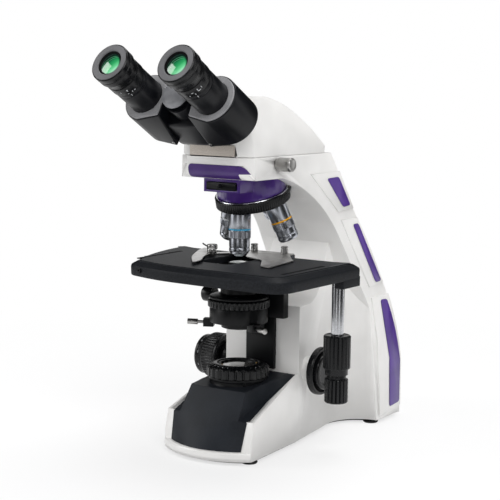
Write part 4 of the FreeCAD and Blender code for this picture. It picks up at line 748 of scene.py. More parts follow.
def makeObjective(name, seat, length, band, front, radius, tip):
    where = seatFrame(seat)
    wide = 10.75  # radius of the upper barrel
    short = length < 30
    bandAt = -11.5 if short else -16.2
    gripTop, gripFoot = bandAt - 2.3, bandAt - (6.0 if short else 9.2)
    upper = [(0, 4.4), (8.0, 4.4), (8.0, 0.4), (9.6, -0.2), (9.6, -1.4), (10.3, -1.9), (wide, -2.6), (wide, bandAt),
            (wide - 0.35, bandAt - 0.05), (wide - 0.35, bandAt - 1.75),
            (wide, bandAt - 1.8), (wide, gripTop), (wide + 0.05, gripTop - 0.4), (wide + 0.05, gripFoot + 0.4),
            (wide, gripFoot), (wide - 0.3, gripFoot - 0.35), (0, gripFoot - 0.4)]
    barrel = turned(softened(upper, 0.18, 3), where, 240, knurl(40, gripFoot + 0.3, gripTop - 0.3, 0.42))
    lowTop = gripFoot + 1.6
    end = -length
    if front:
        lower = [(0, lowTop), (radius, lowTop), (radius, end + 9.2), (radius - 0.35, end + 8.9),
                (radius - 0.35, end + 8.1), (radius, end + 7.8), (radius, end + 5.0), (8.2, end + 2.3),
                (tip + 2.0, end + 1.4), (tip + 1.2, end), (tip - 0.4, end), (tip - 0.8, end + 0.5), (0, end + 0.5)]
        piece(name + "_barrel", [barrel], "turret", objectiveMetal, 40, (name,))
        piece(name + "_front", [turned(softened(lower, 0.35, 4), where, 112)], front, objectiveMetal, 40,
                (name + "_tip",))
    else:
        lower = [(0, lowTop), (radius, lowTop), (radius, end + 6.5), (radius - 0.3, end + 6.2),
                (radius - 0.3, end + 5.6), (radius, end + 5.3), (radius, end + 2.4), (radius - 1.3, end + 0.3),
                (tip + 0.6, end), (tip, end), (tip - 0.5, end + 1.2), (0, end + 1.2)]
        piece(name + "_barrel", [barrel, turned(softened(lower, 0.5, 4), where, 112)], "turret", objectiveMetal, 40,
                (name,))
    ring = ringed(softened([(wide - 0.5, bandAt - 0.1), (wide - 0.02, bandAt - 0.15), (wide - 0.02, bandAt - 1.65),
            (wide - 0.5, bandAt - 1.7)], 0.1, 3, True), where, 112)
    piece(name + "_colour_ring", [ring], "turret", band, 40)
    glass = turned([(0, end + (0.35 if front else 0.75)), ((tip - 0.9) * 0.6, end + (0.42 if front else 0.95)),
            (tip - 0.9, end + (0.6 if front else 1.3)), (0, end + 1.4)], where, 40)
    piece(name + "_front_glass", [glass], front or "turret", deepGlass, 50)


deepGlass = colourPaint("front_lens_glass", (14, 18, 30), (24, 20, 44), 0.06, 0.6)
for name, values in objectives.items():
    makeObjective(name, *values)

lock = {
    "at": (41.8, 0, 281.3), "ribs": (72, 3.85, 15.65, 0.3),
    "profile": [(0, -6), (3.2, -6), (3.2, 0.6), (5.4, 0.6), (5.4, 3.0), (6.6, 3.2), (6.6, 3.8), (6.62, 3.9),
            (6.62, 15.6), (6.6, 15.7), (6.6, 17.3), (5.7, 18.2), (4.4, 18.2), (4.0, 17.85), (0, 17.85)],
}
screw = turned(softened(lock["profile"], 0.15, 3), frameOf(lock["at"], (1, 0, 0), (0, 1, 0)), 360,
        knurl(*lock["ribs"]))
piece("head_lock_screw", [screw], "lock", steel, 40, ("lock_screw",))
print("nosepiece built")


# the nose of the arm: purple panel that wraps its right corner, and the foot of the binocular head

panel = {
    "left": -27.4, "topRight": 32.5, "lowRight": 41.0, "top": 281.2, "front": -47.0, "corner": 29.3, "slope": 0.765,
    "turnAt": 276.5, "turnRadius": 9.0, "turnEnd": 66.0, "round": 3.6, "proud": 0.25, "thick": 0.5,
}


def makePanel(values):
    # down the flat front, then round the lower edge by an arc; past the corner the surface falls back at a slope
    flat = np.stack([np.zeros(9), np.linspace(values["top"], values["turnAt"], 9)], -1)
    a = np.radians(np.linspace(0, values["turnEnd"], 15))[1:]
    r = values["turnRadius"]
    bend = np.stack([r * (1 - np.cos(a)), values["turnAt"] - r * np.sin(a)], -1)
    run = np.concatenate([flat, bend])
    length = np.concatenate([[0], np.cumsum(np.linalg.norm(np.diff(run, axis=0), axis=1))])
    t = length / length[-1]
    near = np.minimum(length, length[-1] - length)
    curl = np.where(near < values["round"],
            values["round"] - np.sqrt(np.maximum(values["round"] ** 2 - (values["round"] - near) ** 2, 0)), 0)
    left = values["left"] + curl
    right = values["topRight"] + (values["lowRight"] - values["topRight"]) * np.sin(t * math.pi / 2) ** 0.8 - curl * 0.7
    u = np.linspace(0, 1, 60)[None, :]
    x = left[:, None] + (right - left)[:, None] * u
    y = values["front"] - values["proud"] + run[:, :1] + np.maximum(x - values["corner"], 0) * values["slope"]
    points = np.stack([x, y, np.broadcast_to(run[:, 1][:, None], x.shape)], -1)
    made = piece("nose_panel", [(points.reshape(-1, 3), gridFaces(len(run), 60))], "stand", fasciaLacquer, 40)
    wall = made.modifiers.new("wall", "SOLIDIFY")
    wall.thickness, wall.offset = values["thick"] * 0.001, 0
    rimBevel(made, 0.2, 2, 50)


makePanel(panel)

footSide = {"corners": [(-94, 318), (-68, 299.9), (-46, 299.9), (-46, 330), (-84, 345)], "rounds": [3, 5, 0.5, 2, 4],
        "half": 21.0}
outline = softened(footSide["corners"], footSide["rounds"], 6, True)
sideways = (np.zeros(3), np.array([(0, 1.0, 0), (0, 0, 1.0), (1.0, 0, 0)]))
piece("binocular_foot", [slab(outline, -footSide["half"], footSide["half"], 1.6, sideways),
                         turned([(0, -108), (10, -108), (10, -57), (0, -57)], eyeFrame(0), 64)], "head", headBlack,
                         40, ("head_yoke",))
whiteStrip = slab(softened([(-31.6, -47.7), (-25.6, -47.7), (-25.6, -46), (-31.6, -46)], 0.3, 3, True), 289.4, 299.8,
        0.3)
piece("insert_side_strip", [whiteStrip], "head", whiteEnamel, 40)
for title, spot in (("left", (-20.6, -26.6, -99.5)), ("right", (21.4, -26.6, -99.5))):
    dish, cross = screwHead(placed(spot, eyeFrame(0)), -eyeFrame(0)[1][1], 1.5)
    piece(title + "_housing_screw", [dish], title + "_tube", steel, 40)
    # painted shade: a matt black cross in place of the recess in the screw head
    piece(title + "_screw_cross", cross, title + "_tube", deepBlack, 40)
print("nose and foot built")


# the base: black cover in folded faces, white lip, field ring, collar, glass and knobs


def patch(bottom, top, left=None, right=None, rows=9):
    # a surface between four edges: each point is the mean of the straight runs from left to right and from bottom to top,
    # less the run between the four corners
    bottom, top = np.asarray(bottom, float), np.asarray(top, float)
    u = np.linspace(0, 1, len(bottom))[None, :, None]
    v = np.linspace(0, 1, rows)[:, None, None]
    surface = (1 - v) * bottom[None] + v * top[None]
    for edge, weight, end in ((left, 1 - u, 0), (right, u, -1)):
        if edge is not None:
            edge = np.asarray(edge, float)[:, None]
            surface = surface + weight * (edge - ((1 - v) * bottom[end][None, None] + v * top[end][None, None]))
    return surface.reshape(-1, 3), gridFaces(rows, len(bottom))


def between(points, count):  # points spread evenly by their place in the list along a run of straight pieces
    p = np.asarray(points, float)
    at = np.linspace(0, len(p) - 1, count)
    return np.stack([np.interp(at, np.arange(len(p)), p[:, i]) for i in range(3)], -1)


# a line across the front that bows forward by a parabola
def bowed(half, edge, crown, height, count=33, power=2.0, rise=0.0):
    x = np.linspace(-half, half, count)
    f = 1 - abs(x / half) ** power
    return np.stack([x, edge + (crown - edge) * f, height + rise * f], -1)


cover = {
    "lipHalf": 41.2, "lipEdge": -53.1, "lipCrown": -67.0, "lipHeight": 12.75,
    "kink": (43.2, -46.6, 39.8), "fold": (34.2, -48.7, 40.8), "foldCrown": -51.0,
    "crease": (32.0, -33.2, 65.3), "creaseCrown": -35.2, "deckBack": (34.2, 37.0, 72.2),
    "stripBack": (43.0, 37.0, 72.2),
    "wall": 1.4, "rounding": 1.1,
}


def makeCover(values):
    k, f, c, r, s = (np.array(values[key]) for key in ("kink", "fold", "crease", "deckBack", "stripBack"))
    flip = np.array([-1, 1, 1])
    middle = bowed(f[0], f[1], values["foldCrown"], f[2])
    waist = np.concatenate([between([k * flip, f * flip], 4)[:-1], middle, between([f, k], 4)[1:]])
    foot = bowed(values["lipHalf"], values["lipEdge"], values["lipCrown"], values["lipHeight"], len(waist))
    crease = bowed(c[0], c[1], values["creaseCrown"], c[2], len(middle))
    back = between([r * flip, r], len(middle))
    parts = [patch(foot, waist), patch(middle, crease, rows=11), patch(crease, back, rows=9)]
    for way in (1, -1):
        turn = np.array([way, 1, 1])
        kink, fold, fall, deck, strip = (corner * turn for corner in (k, f, c, r, s))
        parts.append(patch(between([fold, strip], 13), between([fall, deck], 13), between([fold, fall], 11),
                between([strip, deck], 11), 11))
        parts.append(patch(between([kink, strip], 13), between([fold, strip], 13), rows=4))
    made = piece("cover_shell", parts, "stand", coverBlack, 12, ("base_cover",))
    wall = made.modifiers.new("wall", "SOLIDIFY")
    wall.thickness, wall.offset = values["wall"] * 0.001, -1
    rimBevel(made, values["rounding"], 3, 14).harden_normals = True


makeCover(cover)

lip = {"front": -50.0, "half": 51.0, "bow": 20.0, "top": 12.6, "groove": 5.6}


def makeLip(values):
    # a bead and a lower band carried along the bowed front edge of the base
    x = np.linspace(-values["half"] + 0.6, values["half"] - 0.6, 65)
    radius = (values["half"] ** 2 + values["bow"] ** 2) / (2 * values["bow"])
    y = values["front"] - values["bow"] + radius - np.sqrt(radius ** 2 - x ** 2)
    normal = np.stack([x, y - (values["front"] - values["bow"] + radius)], -1) / radius
    top, groove = values["top"], values["groove"]
    section = softened([(-4.0, top - 1.0), (-4.0, top + 0.25), (-0.6, top + 0.25), (0.75, top - 1.2),
            (0.8, groove + 1.6), (0.3, groove + 0.7), (-0.25, groove), (-4.0, groove)],
            [0.2, 0.3, 1.2, 1.0, 0.6, 0.3, 0.2, 0.2], 5, True)
    out, height = section[:, 0][None, :], section[:, 1][None, :]
    points = np.stack([x[:, None] + normal[:, :1] * out, y[:, None] + normal[:, 1][:, None] * out,
            np.broadcast_to(height, (len(x), len(section)))], -1)
    piece("front_lip", [(points.reshape(-1, 3), tubeFaces(len(x), len(section)))], "stand", whiteEnamel, 40)


makeLip(lip)

fieldRing = {
    "ring": [(20.4, 73.0), (30.2, 73.0), (30.5, 73.4), (30.5, 81.6), (29.6, 82.8), (23.4, 85.1), (21.9, 85.5),
            (20.9, 85.5), (20.4, 84.9)], "rounds": [0.1, 0.3, 0.3, 0.5, 0.8, 0.6, 0.4, 0.3, 0.3],
    "scallops": 24, "depth": 1.9, "from": 25.5, "over": 4.0, "dotRadius": 25.6, "dotHeight": 84.15, "dotTilt": 0.36,
    "collar": [(0, 55), (28.4, 55), (28.4, 66.2), (27.6, 67.0), (27.6, 69.6), (28.6, 70.2), (28.6, 72.6),
            (20.0, 72.8), (20.0, 84.2), (18.9, 84.9), (17.2, 84.2), (16.6, 82.6), (16.2, 82.4), (0, 82.4)],
    "glass": 16.0, "glassTop": 84.4, "glassFall": 1.5, "glassFoot": 82.2,
}


def scallop(angle, radius, height):  # round notches down the rim, deepest half way between two teeth
    wave = (0.5 + 0.5 * np.cos(fieldRing["scallops"] * angle)) ** 3
    strength = np.clip((radius - fieldRing["from"]) / fieldRing["over"], 0, 1)
    return radius - fieldRing["depth"] * wave * strength


ring = ringed(softened(fieldRing["ring"], fieldRing["rounds"], 4, True), upright, 480, scallop)
piece("field_iris_ring", [ring], "field_iris", knobBlack, 40, ("field_ring",))
dots = []
for angle in np.radians(range(-156, 4, 13)):
    way = np.array([math.cos(angle), math.sin(angle), 0])
    spot = way * fieldRing["dotRadius"] + (0, 0, fieldRing["dotHeight"])
    dots.append(turned([(0, 0.12), (0.42, 0.1), (0.5, -0.3), (0, -0.3)],
            frameOf(spot, way * fieldRing["dotTilt"] + (0, 0, 1)), 10))
piece("field_ring_dots", dots, "field_iris", engraved, 40)

collar = turned(softened(fieldRing["collar"], 0.4, 4), upright, 128)
piece("field_lens_collar", [collar], "stand", satinBlack, 40, ("field_collar",))
r, foot = fieldRing["glass"], fieldRing["glassFoot"]
radius = np.linspace(0, r, 14)
dome = np.stack([radius, fieldRing["glassTop"] - fieldRing["glassFall"] * (radius / r) ** 2], -1)
frosted = colourPaint("field_lens_glass", (78, 76, 72), (62, 60, 58), 0.12, 0.8, 18)
piece("field_lens", [turned(np.concatenate([dome, [(r, foot), (0, foot)]]), upright, 96)], "stand", frosted, 50,
      ("field_glass",))
brass = anodised("brass_dots", (196, 160, 96), 0.3, 0.7)
dots = [turned([(0, 85.2), (0.9, 85.15), (1.0, 84.2), (0, 84.2)], standing(18.2 * math.cos(a), 18.2 * math.sin(a)),
        14)
        for a in np.radians((-112, 38))]
piece("lens_locating_dots", dots, "stand", brass, 40)
way = np.array([math.cos(math.radians(-42)), math.sin(math.radians(-42)), 0])
setScrew = frameOf(way * 28.3 + (0, 0, 68.4), way)
piece("collar_set_screw", [ringed(softened([(0.9, -0.6), (1.9, -0.6), (1.9, 0.35), (0.9, 0.35)], 0.15, 3, True),
        setScrew, 24)], "stand", satinBlack, 40)
print("base built")


# focus knobs, stage drive shaft and its two knobs

def grooves(count, low, high, depth, sharpness=1.0, outer=0.0):  # long flutes down a rim between two heights
    def change(angle, radius, height):
        wave = (0.5 + 0.5 * np.cos(count * angle)) ** sharpness
        inside = np.clip((height - low) / 0.6, 0, 1) * np.clip((high - height) / 0.6, 0, 1)
        return radius - depth * wave * inside * (radius > outer)
    return change


focusAxis = (0, 60.0, 74.0)
# name: side, body, rounding, points round, flutes, profile of (radius, distance from the middle plane)
focusKnobs = {
    "left_coarse_knob": (-1, "coarse", 0.35, 432, (48, 58.4, 71.8, 0.75, 1.5, 23.0), [
        (0, 54.2), (20.5, 54.2), (23.2, 54.6), (23.8, 55.4), (23.8, 57.4), (23.4, 57.8), (23.4, 58.2), (23.8, 58.6),
        (23.8, 71.4), (23.2, 73.0), (22.0, 73.7), (0, 73.7)]),
    "left_fine_knob": (-1, "fine", 0.4, 360, (72, 74.6, 78.3, 0.3, 1.0, 20.0), [
        (0, 73.9), (19.6, 73.9), (20.4, 74.6), (20.6, 76.2), (20.6, 78.2), (20.3, 78.5), (20.3, 79.3), (20.6, 79.6),
        (20.6, 82.4), (19.6, 83.7), (17.4, 83.9), (15.6, 83.2), (9, 82.8), (0, 82.7)]),
    "right_coarse_knob": (1, "coarse", 0.5, 288, (72, 56.4, 60.8, 0.35, 1.0, 23.2), [
        (0, 55.6), (22.6, 55.6), (23.8, 56.2), (23.8, 60.6), (22.8, 61.9), (20.8, 62.0), (19.6, 60.6), (17.0, 59.6),
        (0, 59.4)]),
    "right_fine_knob": (1, "fine", 0.5, 288, (60, 60.0, 64.4, 0.3, 1.0, 17.8), [
        (0, 58.0), (17.6, 58.0), (18.2, 58.8), (18.2, 64.0), (17.0, 65.7), (14.0, 66.0), (12.6, 65.2), (0, 64.8)]),
}
fineScale = {
    "radius": 20.3, "half": 3.2, "low": 78.7, "high": 79.2, "angles": (122, 158, 196, 232, 268, 304, 340, 16, 52, 88),
}


def focusFrame(side):  # z runs out of the microscope's side
    return frameOf(focusAxis, (side, 0, 0), (0, 1, 0))


for name, (side, body, rounding, count, flutes, profile) in focusKnobs.items():
    node = body + "_knob_" + ("left" if side < 0 else "right")
    piece(name, [turned(softened(profile, rounding, 4), focusFrame(side), count, grooves(*flutes))], body, knobBlack,
            40, (node,))
dashes = [arcPatch(fineScale["radius"], angle - fineScale["half"], angle + fineScale["half"], fineScale["low"],
                   fineScale["high"], focusFrame(-1)) for angle in fineScale["angles"]]
piece("fine_scale_marks", dashes, "fine", engraved, 30)
print("focus knobs built")


# the stage: rings of points between the aperture and the bowed outer edge

stage = {
    "corners": [(-73.5, -78.5), (-30, -91.5), (36, -94.6), (109.9, -94.2), (109.9, 45.8), (-107.8, 45.8), (-103.5, 3),
            (-91.5, -39)],
    "rounds": [9, 30, 30, 24, 4, 4, 20, 20],
    "aperture": [(-19, -44), (19, -44), (19, 36), (-19, 36)], "apertureRound": 6,
    "top": 188.0, "foot": 173.6, "chamfer": 7.0, "chamferDrop": 3.6, "line": 0.8, "skirt": 4.0, "plate": 182.0,
    "points": 720,
}


def polar(outline, angles):  # how far an outline lies from the optical axis in each direction
    p = np.asarray(outline, float)
    p = np.concatenate([p, p[:1]])
    dense = np.concatenate([np.linspace(a, b, 40, endpoint=False) for a, b in zip(p[:-1], p[1:])])
    return np.interp(angles, np.arctan2(dense[:, 1], dense[:, 0]), np.hypot(dense[:, 0], dense[:, 1]),
            period=2 * math.pi)


def makeStage(values):
    outer = softened(values["corners"], values["rounds"], 10, True)
    hole = softened(values["aperture"], values["apertureRound"], 8, True)
    angles = np.linspace(-math.pi, math.pi, values["points"], endpoint=False)
    top, foot, c, drop, line, skirt, plate = (
        values[k] for k in ("top", "foot", "chamfer", "chamferDrop", "line", "skirt", "plate"))
    rows = []
    for shape, amount, height in (
            (hole, 0, plate), (hole, 0, top - 0.5), (hole, -0.5, top), (outer, c + 2.2, top),
            (outer, c + 1.6, top - line), (outer, c + 0.4, top - line),
            (outer, c, top - line + 0.1), (outer, 1.5, top - drop), (outer, 0.6, top - drop - 0.7),
            (outer, 0.05, top - drop - 2.2), (outer, 0, top - drop - 3),
            (outer, 0.2, foot + 1.2), (outer, 0.6, foot + 0.3), (outer, 1.2, foot), (outer, skirt, foot),
            (outer, skirt, plate)):
        r = polar(inset(shape, amount), angles)
        rows.append(np.stack([r * np.cos(angles), r * np.sin(angles), np.full(len(angles), height)], -1))
    faces = gridFaces(len(rows), len(angles), closeRows=True, closeCols=True)
    block = slab(softened([(99.5, 14), (109.6, 14), (109.6, 45.4), (99.5, 45.4)], 1.2, 4, True), 166.2, 176, 0.8)
    piece("stage_top_plate", [(np.concatenate(rows), faces), block], "stage", stageCrinkle, 28, ("stage_plate",))


makeStage(stage)


plateMarks = {  # on the stage: two long slots, and a scale of ticks beside each
    "slots": ((-76, -62, 8), (93, -67, 5)), "slotWidth": 4.4, "slotTop": 188.06,  # x, from and to along y
    "tickLow": 187.6, "tickTop": 188.05, "tickHalf": 0.16,
}


def slot(x, low, high):  # a long shape with round ends, a hair over the plate, in matt black: painted shade that stands for the slot's dark depth
    half, top = plateMarks["slotWidth"] / 2, plateMarks["slotTop"]
    return slab(softened([(x - half, low), (x + half, low), (x + half, high), (x - half, high)], 1.6, 5, True),
            top - 0.8, top, 0.03, upright, 1)


def tick(x0, x1, y):
    half = plateMarks["tickHalf"]
    return slab(bar(x0, x1, y - half, y + half), plateMarks["tickLow"], plateMarks["tickTop"], 0.02, upright, 1)


# painted shade: the slots are matt black patches laid over the plate
piece("stage_slots_painted_shade", [slot(*place) for place in plateMarks["slots"]], "stage", deepBlack, 30)
ticks = [tick(-81.2, -79.2 if i % 5 else -78.3, y) for i, y in enumerate(np.arange(-46, -8, 2.0))]
ticks += [tick(98.2, 100.4, y) for y in np.arange(6, 38, 2.0)]
piece("stage_scale_ticks", ticks, "stage", greyMarks, 30)
screwAt = frameOf((-57, -84.6, 180), (-0.2, -1, 0))
piece("stage_front_screw", [ringed(softened([(1.0, -2.0), (2.6, -2.0), (2.6, 0.5), (1.0, 0.5)], 0.2, 3, True),
        screwAt, 28)], "stage", satinBlack, 40)


# the drive shaft that hangs from the stage, and its two fluted knobs


def boxOf(node):  # the low and high corner of a node's box, in mm about the optical axis
    return [np.array(v) * 1000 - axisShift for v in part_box(node)]


def centred(node):  # an upright frame in the middle of a node, its lowest and highest level and its radius
    low, high = boxOf(node)
    middle = ((low[0] + high[0]) / 2, (low[1] + high[1]) / 2, 0)
    return frameOf(middle, (0, 0, 1), (1, 0, 0)), low[2], high[2], (high[0] - low[0]) / 2


where, low, high, radius = centred("drive_post")
shaft = turned(softened([(0, low), (radius, low + 0.01), (radius, high), (0, high)], 0.1, 3), where, 96)
piece("drive_shaft", [shaft], "stage", chrome, 40, ("drive_post",))
flange = turned(softened([(radius, 168.4), (radius + 2.8, 168.4), (radius + 3.1, 169.2), (radius + 3.1, 173.8),
        (radius, 173.8)], 0.3, 3), where, 64)
piece("shaft_collar", [flange], "stage", steel, 40)
where, low, high, radius = centred("stage_y_knob")
upper = turned(softened([(0, low), (radius - 2.2, low), (radius - 2.2, low + 6.0), (radius - 0.3, low + 6.4),
        (radius, low + 7.2), (radius, high - 1.3), (radius - 1.2, high), (radius - 2.6, high),
        (radius - 3.2, high - 0.6), (0, high - 0.6)], 0.3, 4), where, 480,
               grooves(20, low + 7.4, high - 0.6, 1.5, 4.0, radius - 1.0))
piece("upper_stage_knob", [upper], "y_knob", knobBlack, 40, ("stage_y_knob",))
where, low, high, radius = centred("stage_x_knob")
lower = turned(softened([(0, low + 0.4), (radius - 3.0, low + 0.4), (radius - 2.6, low), (radius - 1.0, low),
        (radius, low + 1.2), (radius, high - 4.2), (radius - 0.5, high - 3.4), (radius - 2.0, high - 3.0),
        (radius - 2.0, high), (0, high)], 0.3, 4), where, 432,
               grooves(18, low + 1.0, high - 3.6, 1.4, 4.0, radius - 0.9))
piece("lower_stage_knob", [lower], "x_knob", knobBlack, 40, ("stage_x_knob",))
print("stage built")


# condenser: cup, iris ring, neck and top lens

low, high = boxOf("iris_ring")
ringLow, ringHigh = low[2], high[2]
iris = ringed(softened([(24.6, ringLow), (29.6, ringLow), (30.3, ringLow + 0.6), (30.4, ringHigh - 1.4),
        (29.4, ringHigh - 0.3), (27.2, ringHigh), (24.6, ringHigh)], 0.35, 4, True), upright, 480,
        grooves(40, ringLow + 0.5, ringHigh - 1.0, 0.9, 3.0, 29.5))
piece("iris_grip_ring", [iris], "iris", knobBlack, 40, ("iris_ring",))
low, high = boxOf("condenser_body")
foot, tip = low[2], high[2]
body = turned(softened([(0, foot), (15.2, foot), (16.9, foot + 0.6), (17, ringLow - 9), (24.2, ringLow - 8),
        (24.2, ringHigh + 0.3), (28.8, ringHigh + 0.35), (29, ringHigh + 0.8), (29, ringHigh + 2.2),
        (27.6, ringHigh + 3.0), (19.4, ringHigh + 4.6), (18, ringHigh + 5.4), (18, tip - 17),
        (10.6, tip - 13), (10.6, tip), (9.4, tip), (0, tip - 0.2)], 0.4, 4), upright, 128)
piece("condenser_barrel", [body], "condenser", satinBlack, 40, ("condenser_body",))
radius = np.linspace(0, 9.4, 10)
piece("condenser_top_lens", [turned(np.concatenate([np.stack([radius, tip + 1.2 - 1.2 * (radius / 9.4) ** 2], -1),
        [(9.4, tip - 0.6), (0, tip - 0.6)]]), upright, 72)], "condenser",
      colourPaint("condenser_lens_glass", (206, 210, 206), (180, 186, 182), 0.08, 0.8, 12), 50, ("condenser_lens",))
print("condenser built")


# slide holder: angled plate, sprung crescent and their screws

holder = {
    "plate": [(4, 5), (30, -5.2), (52, -40.6), (60, -43.5), (64.6, -45.0), (63.2, -33), (56.5, 9.5), (51.0, 15.0),
            (30, 44), (30, 53), (-22, 53), (-30, 20), (-42, 6), (-37, 0), (-22, 16), (-8, 26)],
    "plateRounds": [3, 6, 3, 2, 1.6, 8, 3, 6, 4, 2, 2, 4, 3, 3, 6, 5], "plateLow": 188.62, "plateHigh": 189.7,
    "post": [(0, 189.6), (3.6, 189.6), (3.6, 193.4), (3.2, 193.8), (3.2, 194.4), (3.6, 194.8), (3.6, 196.2),
            (2.8, 196.7),
            (0, 196.7)], "postX": (-16, 20), "postY": 49.6, "postRibs": (30, 189.8, 193.3, 0.25, 1.0, 3.4),
    "pivot": (-37, 6), "pin": [(0, 189.6), (1.6, 189.6), (1.6, 191.0), (0, 191.0)],
    "finger": [(-61, 26), (-57, 12), (-50, -2), (-42, -17), (-33, -33), (-23, -47), (-14.5, -58), (-6, -68),
            (-6.4, -60), (-8, -53), (-12, -44), (-19, -34), (-27, -18), (-29, -8), (-30, -1), (-36, 14), (-46, 22)],
    "fingerRounds": [2, 6, 7, 8, 8, 7, 6, 1.4, 3, 3, 5, 8, 6, 4, 4, 6, 5], "fingerLow": 189.85, "fingerHigh": 191.1,
    "knob": [(0, 190.6), (4.2, 190.6), (4.2, 191.5), (3.4, 192.0), (3.4, 193.0), (5.0, 193.5), (5.3, 194.3),
            (5.3, 197.3), (4.6, 198.4), (2.2, 198.85), (0, 198.85)],
    "screw": [(0, 190.6), (3.6, 190.6), (3.6, 191.6), (4.2, 192.1), (4.4, 192.8), (4.4, 195.3), (3.8, 196.2),
            (0, 196.5)],
    "screwAt": (-28.5, -6.5), "lever": ((-40, 9), (-60, 22)), "leverHeight": (194.0, 1.6),
}


def makeHolder(h):
    pivot = standing(*h["pivot"])
    parts = [slab(softened(h["plate"], h["plateRounds"], 6, True), h["plateLow"], h["plateHigh"], 0.3)]
    for x in h["postX"]:
        parts.append(turned(softened(h["post"], 0.25, 3), standing(x, h["postY"]), 120, grooves(*h["postRibs"])))
    parts.append(turned(softened(h["pin"], 0.1, 3), pivot, 32))
    piece("slide_angle_plate", parts, "slide_holder", steel, 40, ("holder_plate",))
    finger = slab(softened(h["finger"], h["fingerRounds"], 6, True), h["fingerLow"], h["fingerHigh"], 0.35)
    knob = turned(softened(h["knob"], 0.4, 4), pivot, 64)
    screw = turned(softened(h["screw"], 0.4, 4), standing(*h["screwAt"]), 64)
    ends, height = h["lever"], h["leverHeight"]
    line = np.linspace(ends[0], ends[1], 12)
    rise = height[0] + height[1] * np.linspace(0, 1, 12) ** 2
    lever = tubeAlong(np.column_stack([line, rise]), 0.8, 14)
    piece("sprung_finger", [finger, knob, screw, lever], "finger", steel, 40, ("spring_finger",))


makeHolder(holder)
low, high = boxOf("slide_carriage")
block = slab(softened(bar(low[0], high[0], 46.3, 53.8), 1.0, 4, True), low[2], high[2], 0.3)
runner = slab(softened(bar(low[0], high[0], 42.4, 47.0), 0.3, 3, True), 184.9, 185.8, 0.1)
piece("slide_carriage_block", [block, runner], "slide_holder", darkMetal, 40, ("slide_carriage",))
print("slide holder built")


# floor, light and camera

studio = {
    "floorHalf": 14.0, "floorColour": (248, 248, 248), "floorNear": 0.66,
    "worldGrey": 0.46, "flagTone": 0.01,
    "flagRings": ((3.2, 0.02, 3.4), (0.95, 0.02, 0.72)),  # radius, foot and top in m
    # degrees round the object that stay dark
    "flagSpans": ((-128, -84), (-70, -34), (-20, 38), (58, 118), (138, 206)),
    "lamps": (  # name, place (m), aimed at (m), width, height, power
        ("keyLamp", (1.5, -1.4, 1.9), (0.0, 0.0, 0.2), 1.1, 1.3, 30.0),
        ("fillLamp", (-1.7, -1.2, 1.1), (0.0, 0.0, 0.2), 0.7, 1.5, 14.0),
        ("topLamp", (0.1, 0.5, 2.3), (0.0, 0.0, 0.1), 1.6, 1.2, 24.0),
    ),
}


def makeFloor(values):
    half = values["floorHalf"]
    mesh = bpy.data.meshes.new("floor")
    mesh.from_pydata([(-half, -half, 0), (half, -half, 0), (half, half, 0), (-half, half, 0)], [], [(0, 1, 2, 3)])
    floor = bpy.data.objects.new("floor", mesh)
    bpy.context.scene.collection.objects.link(floor)
    f = Finish("floor_white")
    plain = f.wire("ShaderNodeBsdfDiffuse", None, {"Color": f.blend(f.noise(400, 1.0), tint(*values["floorColour"]),
            tint(236, 236, 237))})
    glow = f.wire("ShaderNodeEmission", None, {"Color": (1, 1, 1, 1), "Strength": 1.0})
    place = f.node("ShaderNodeSeparateXYZ", None, {0: f.here()})
    x, y = Wire(f, place.outputs[0]), Wire(f, place.outputs[1])
    # plain near the object, where its shadow lies, and white farther off
    away = f.level((x * x + y * y).power(0.5), 0.25, 0.8, values["floorNear"], 1.0)
    f.mixed(f.seen() * away, plain, glow)
    mesh.materials.append(f.material)


def makeWorld(values):
    world = bpy.data.worlds.new("studio_world")
    bpy.context.scene.world = world
    f = Finish("studio_world", world)
    grey, white = (f.wire("ShaderNodeBackground", None, {0: (1, 1, 1, 1), 1: strength})
                   for strength in (values["worldGrey"], 1.0))
    f.mixed(f.seen(), grey, white)


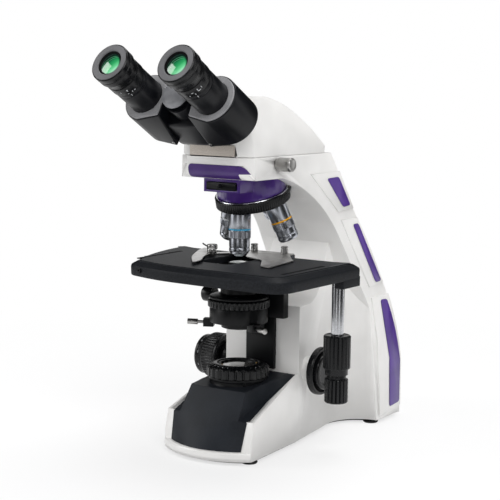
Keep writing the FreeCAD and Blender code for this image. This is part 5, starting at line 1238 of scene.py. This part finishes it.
def makeFlags(values):
    # dark cloths in two rings with gaps between them, and one overhead, seen only in reflections: they draw bright and
    # dark stripes down round metal
    r, foot, top = values["flagRings"][0]
    corners, faces = [(-r, -r, top), (r, -r, top), (r, r, top), (-r, r, top)], [(0, 1, 2, 3)]
    for radius, foot, top in values["flagRings"]:
        for low, high in values["flagSpans"]:
            a = np.radians(np.linspace(low, high, 9))
            ring = np.stack([radius * np.cos(a), radius * np.sin(a)], -1)
            start = len(corners)
            corners += [(x, y, foot) for x, y in ring] + [(x, y, top) for x, y in ring]
            faces += [(start + i, start + i + 1, start + i + 10, start + i + 9) for i in range(8)]
    mesh = bpy.data.meshes.new("dark_flags")
    mesh.from_pydata(corners, [], faces)
    flags = bpy.data.objects.new("dark_flags", mesh)
    bpy.context.scene.collection.objects.link(flags)
    f = Finish("flag_cloth")
    tone = values["flagTone"]
    f.surface(baseColor=f.blend(f.noise(300, 1.0), (tone, tone, tone, 1.0),
            (tone * 1.5, tone * 1.5, tone * 1.5, 1.0)), roughness=1.0, specularIorLevel=0.0)
    mesh.materials.append(f.material)
    flags.visible_camera = flags.visible_diffuse = flags.visible_shadow = flags.visible_transmission = False


def makeLamps(values):
    for name, place, aim, width, height, power in values["lamps"]:
        lamp = bpy.data.lights.new(name, "AREA")
        lamp.shape, lamp.size, lamp.size_y, lamp.energy = "RECTANGLE", width, height, power
        made = bpy.data.objects.new(name, lamp)
        made.location = place
        made.rotation_euler = (Vector(aim) - Vector(place)).to_track_quat("-Z", "Y").to_euler()
        bpy.context.scene.collection.objects.link(made)


camera = {  # found from the photograph: optical-axis millimetres and degrees
    "place": (765.1, -1103.9, 367.3), "heading": 34.29, "pitch": 7.26, "roll": 0.78, "focal": 1394.51,
}


def makeCamera(values):
    heading, pitch, roll = (math.radians(values[k]) for k in ("heading", "pitch", "roll"))
    level = np.array([-math.sin(heading), math.cos(heading), 0])
    right = np.array([math.cos(heading), math.sin(heading), 0])
    up = np.array([0, 0, 1.0])
    look = level * math.cos(pitch) - up * math.sin(pitch)
    top = level * math.sin(pitch) + up * math.cos(pitch)
    x = right * math.cos(roll) + top * math.sin(roll)
    y = top * math.cos(roll) - right * math.sin(roll)
    data = bpy.data.cameras.new("camera")
    data.sensor_width, data.lens = 36.0, values["focal"] * 36.0 / 500
    data.clip_start, data.clip_end = 0.05, 60.0
    made = bpy.data.objects.new("camera", data)
    place = (np.array(values["place"]) + axisShift) * 0.001
    made.matrix_world = Matrix([[x[i], y[i], -look[i], place[i]] for i in range(3)] + [[0, 0, 0, 1]])
    bpy.context.scene.collection.objects.link(made)
    bpy.context.scene.camera = made


makeFloor(studio)
makeWorld(studio)
makeFlags(studio)
makeLamps(studio)
makeCamera(camera)
bpy.context.scene.view_settings.view_transform = "Standard"
print("studio lit")
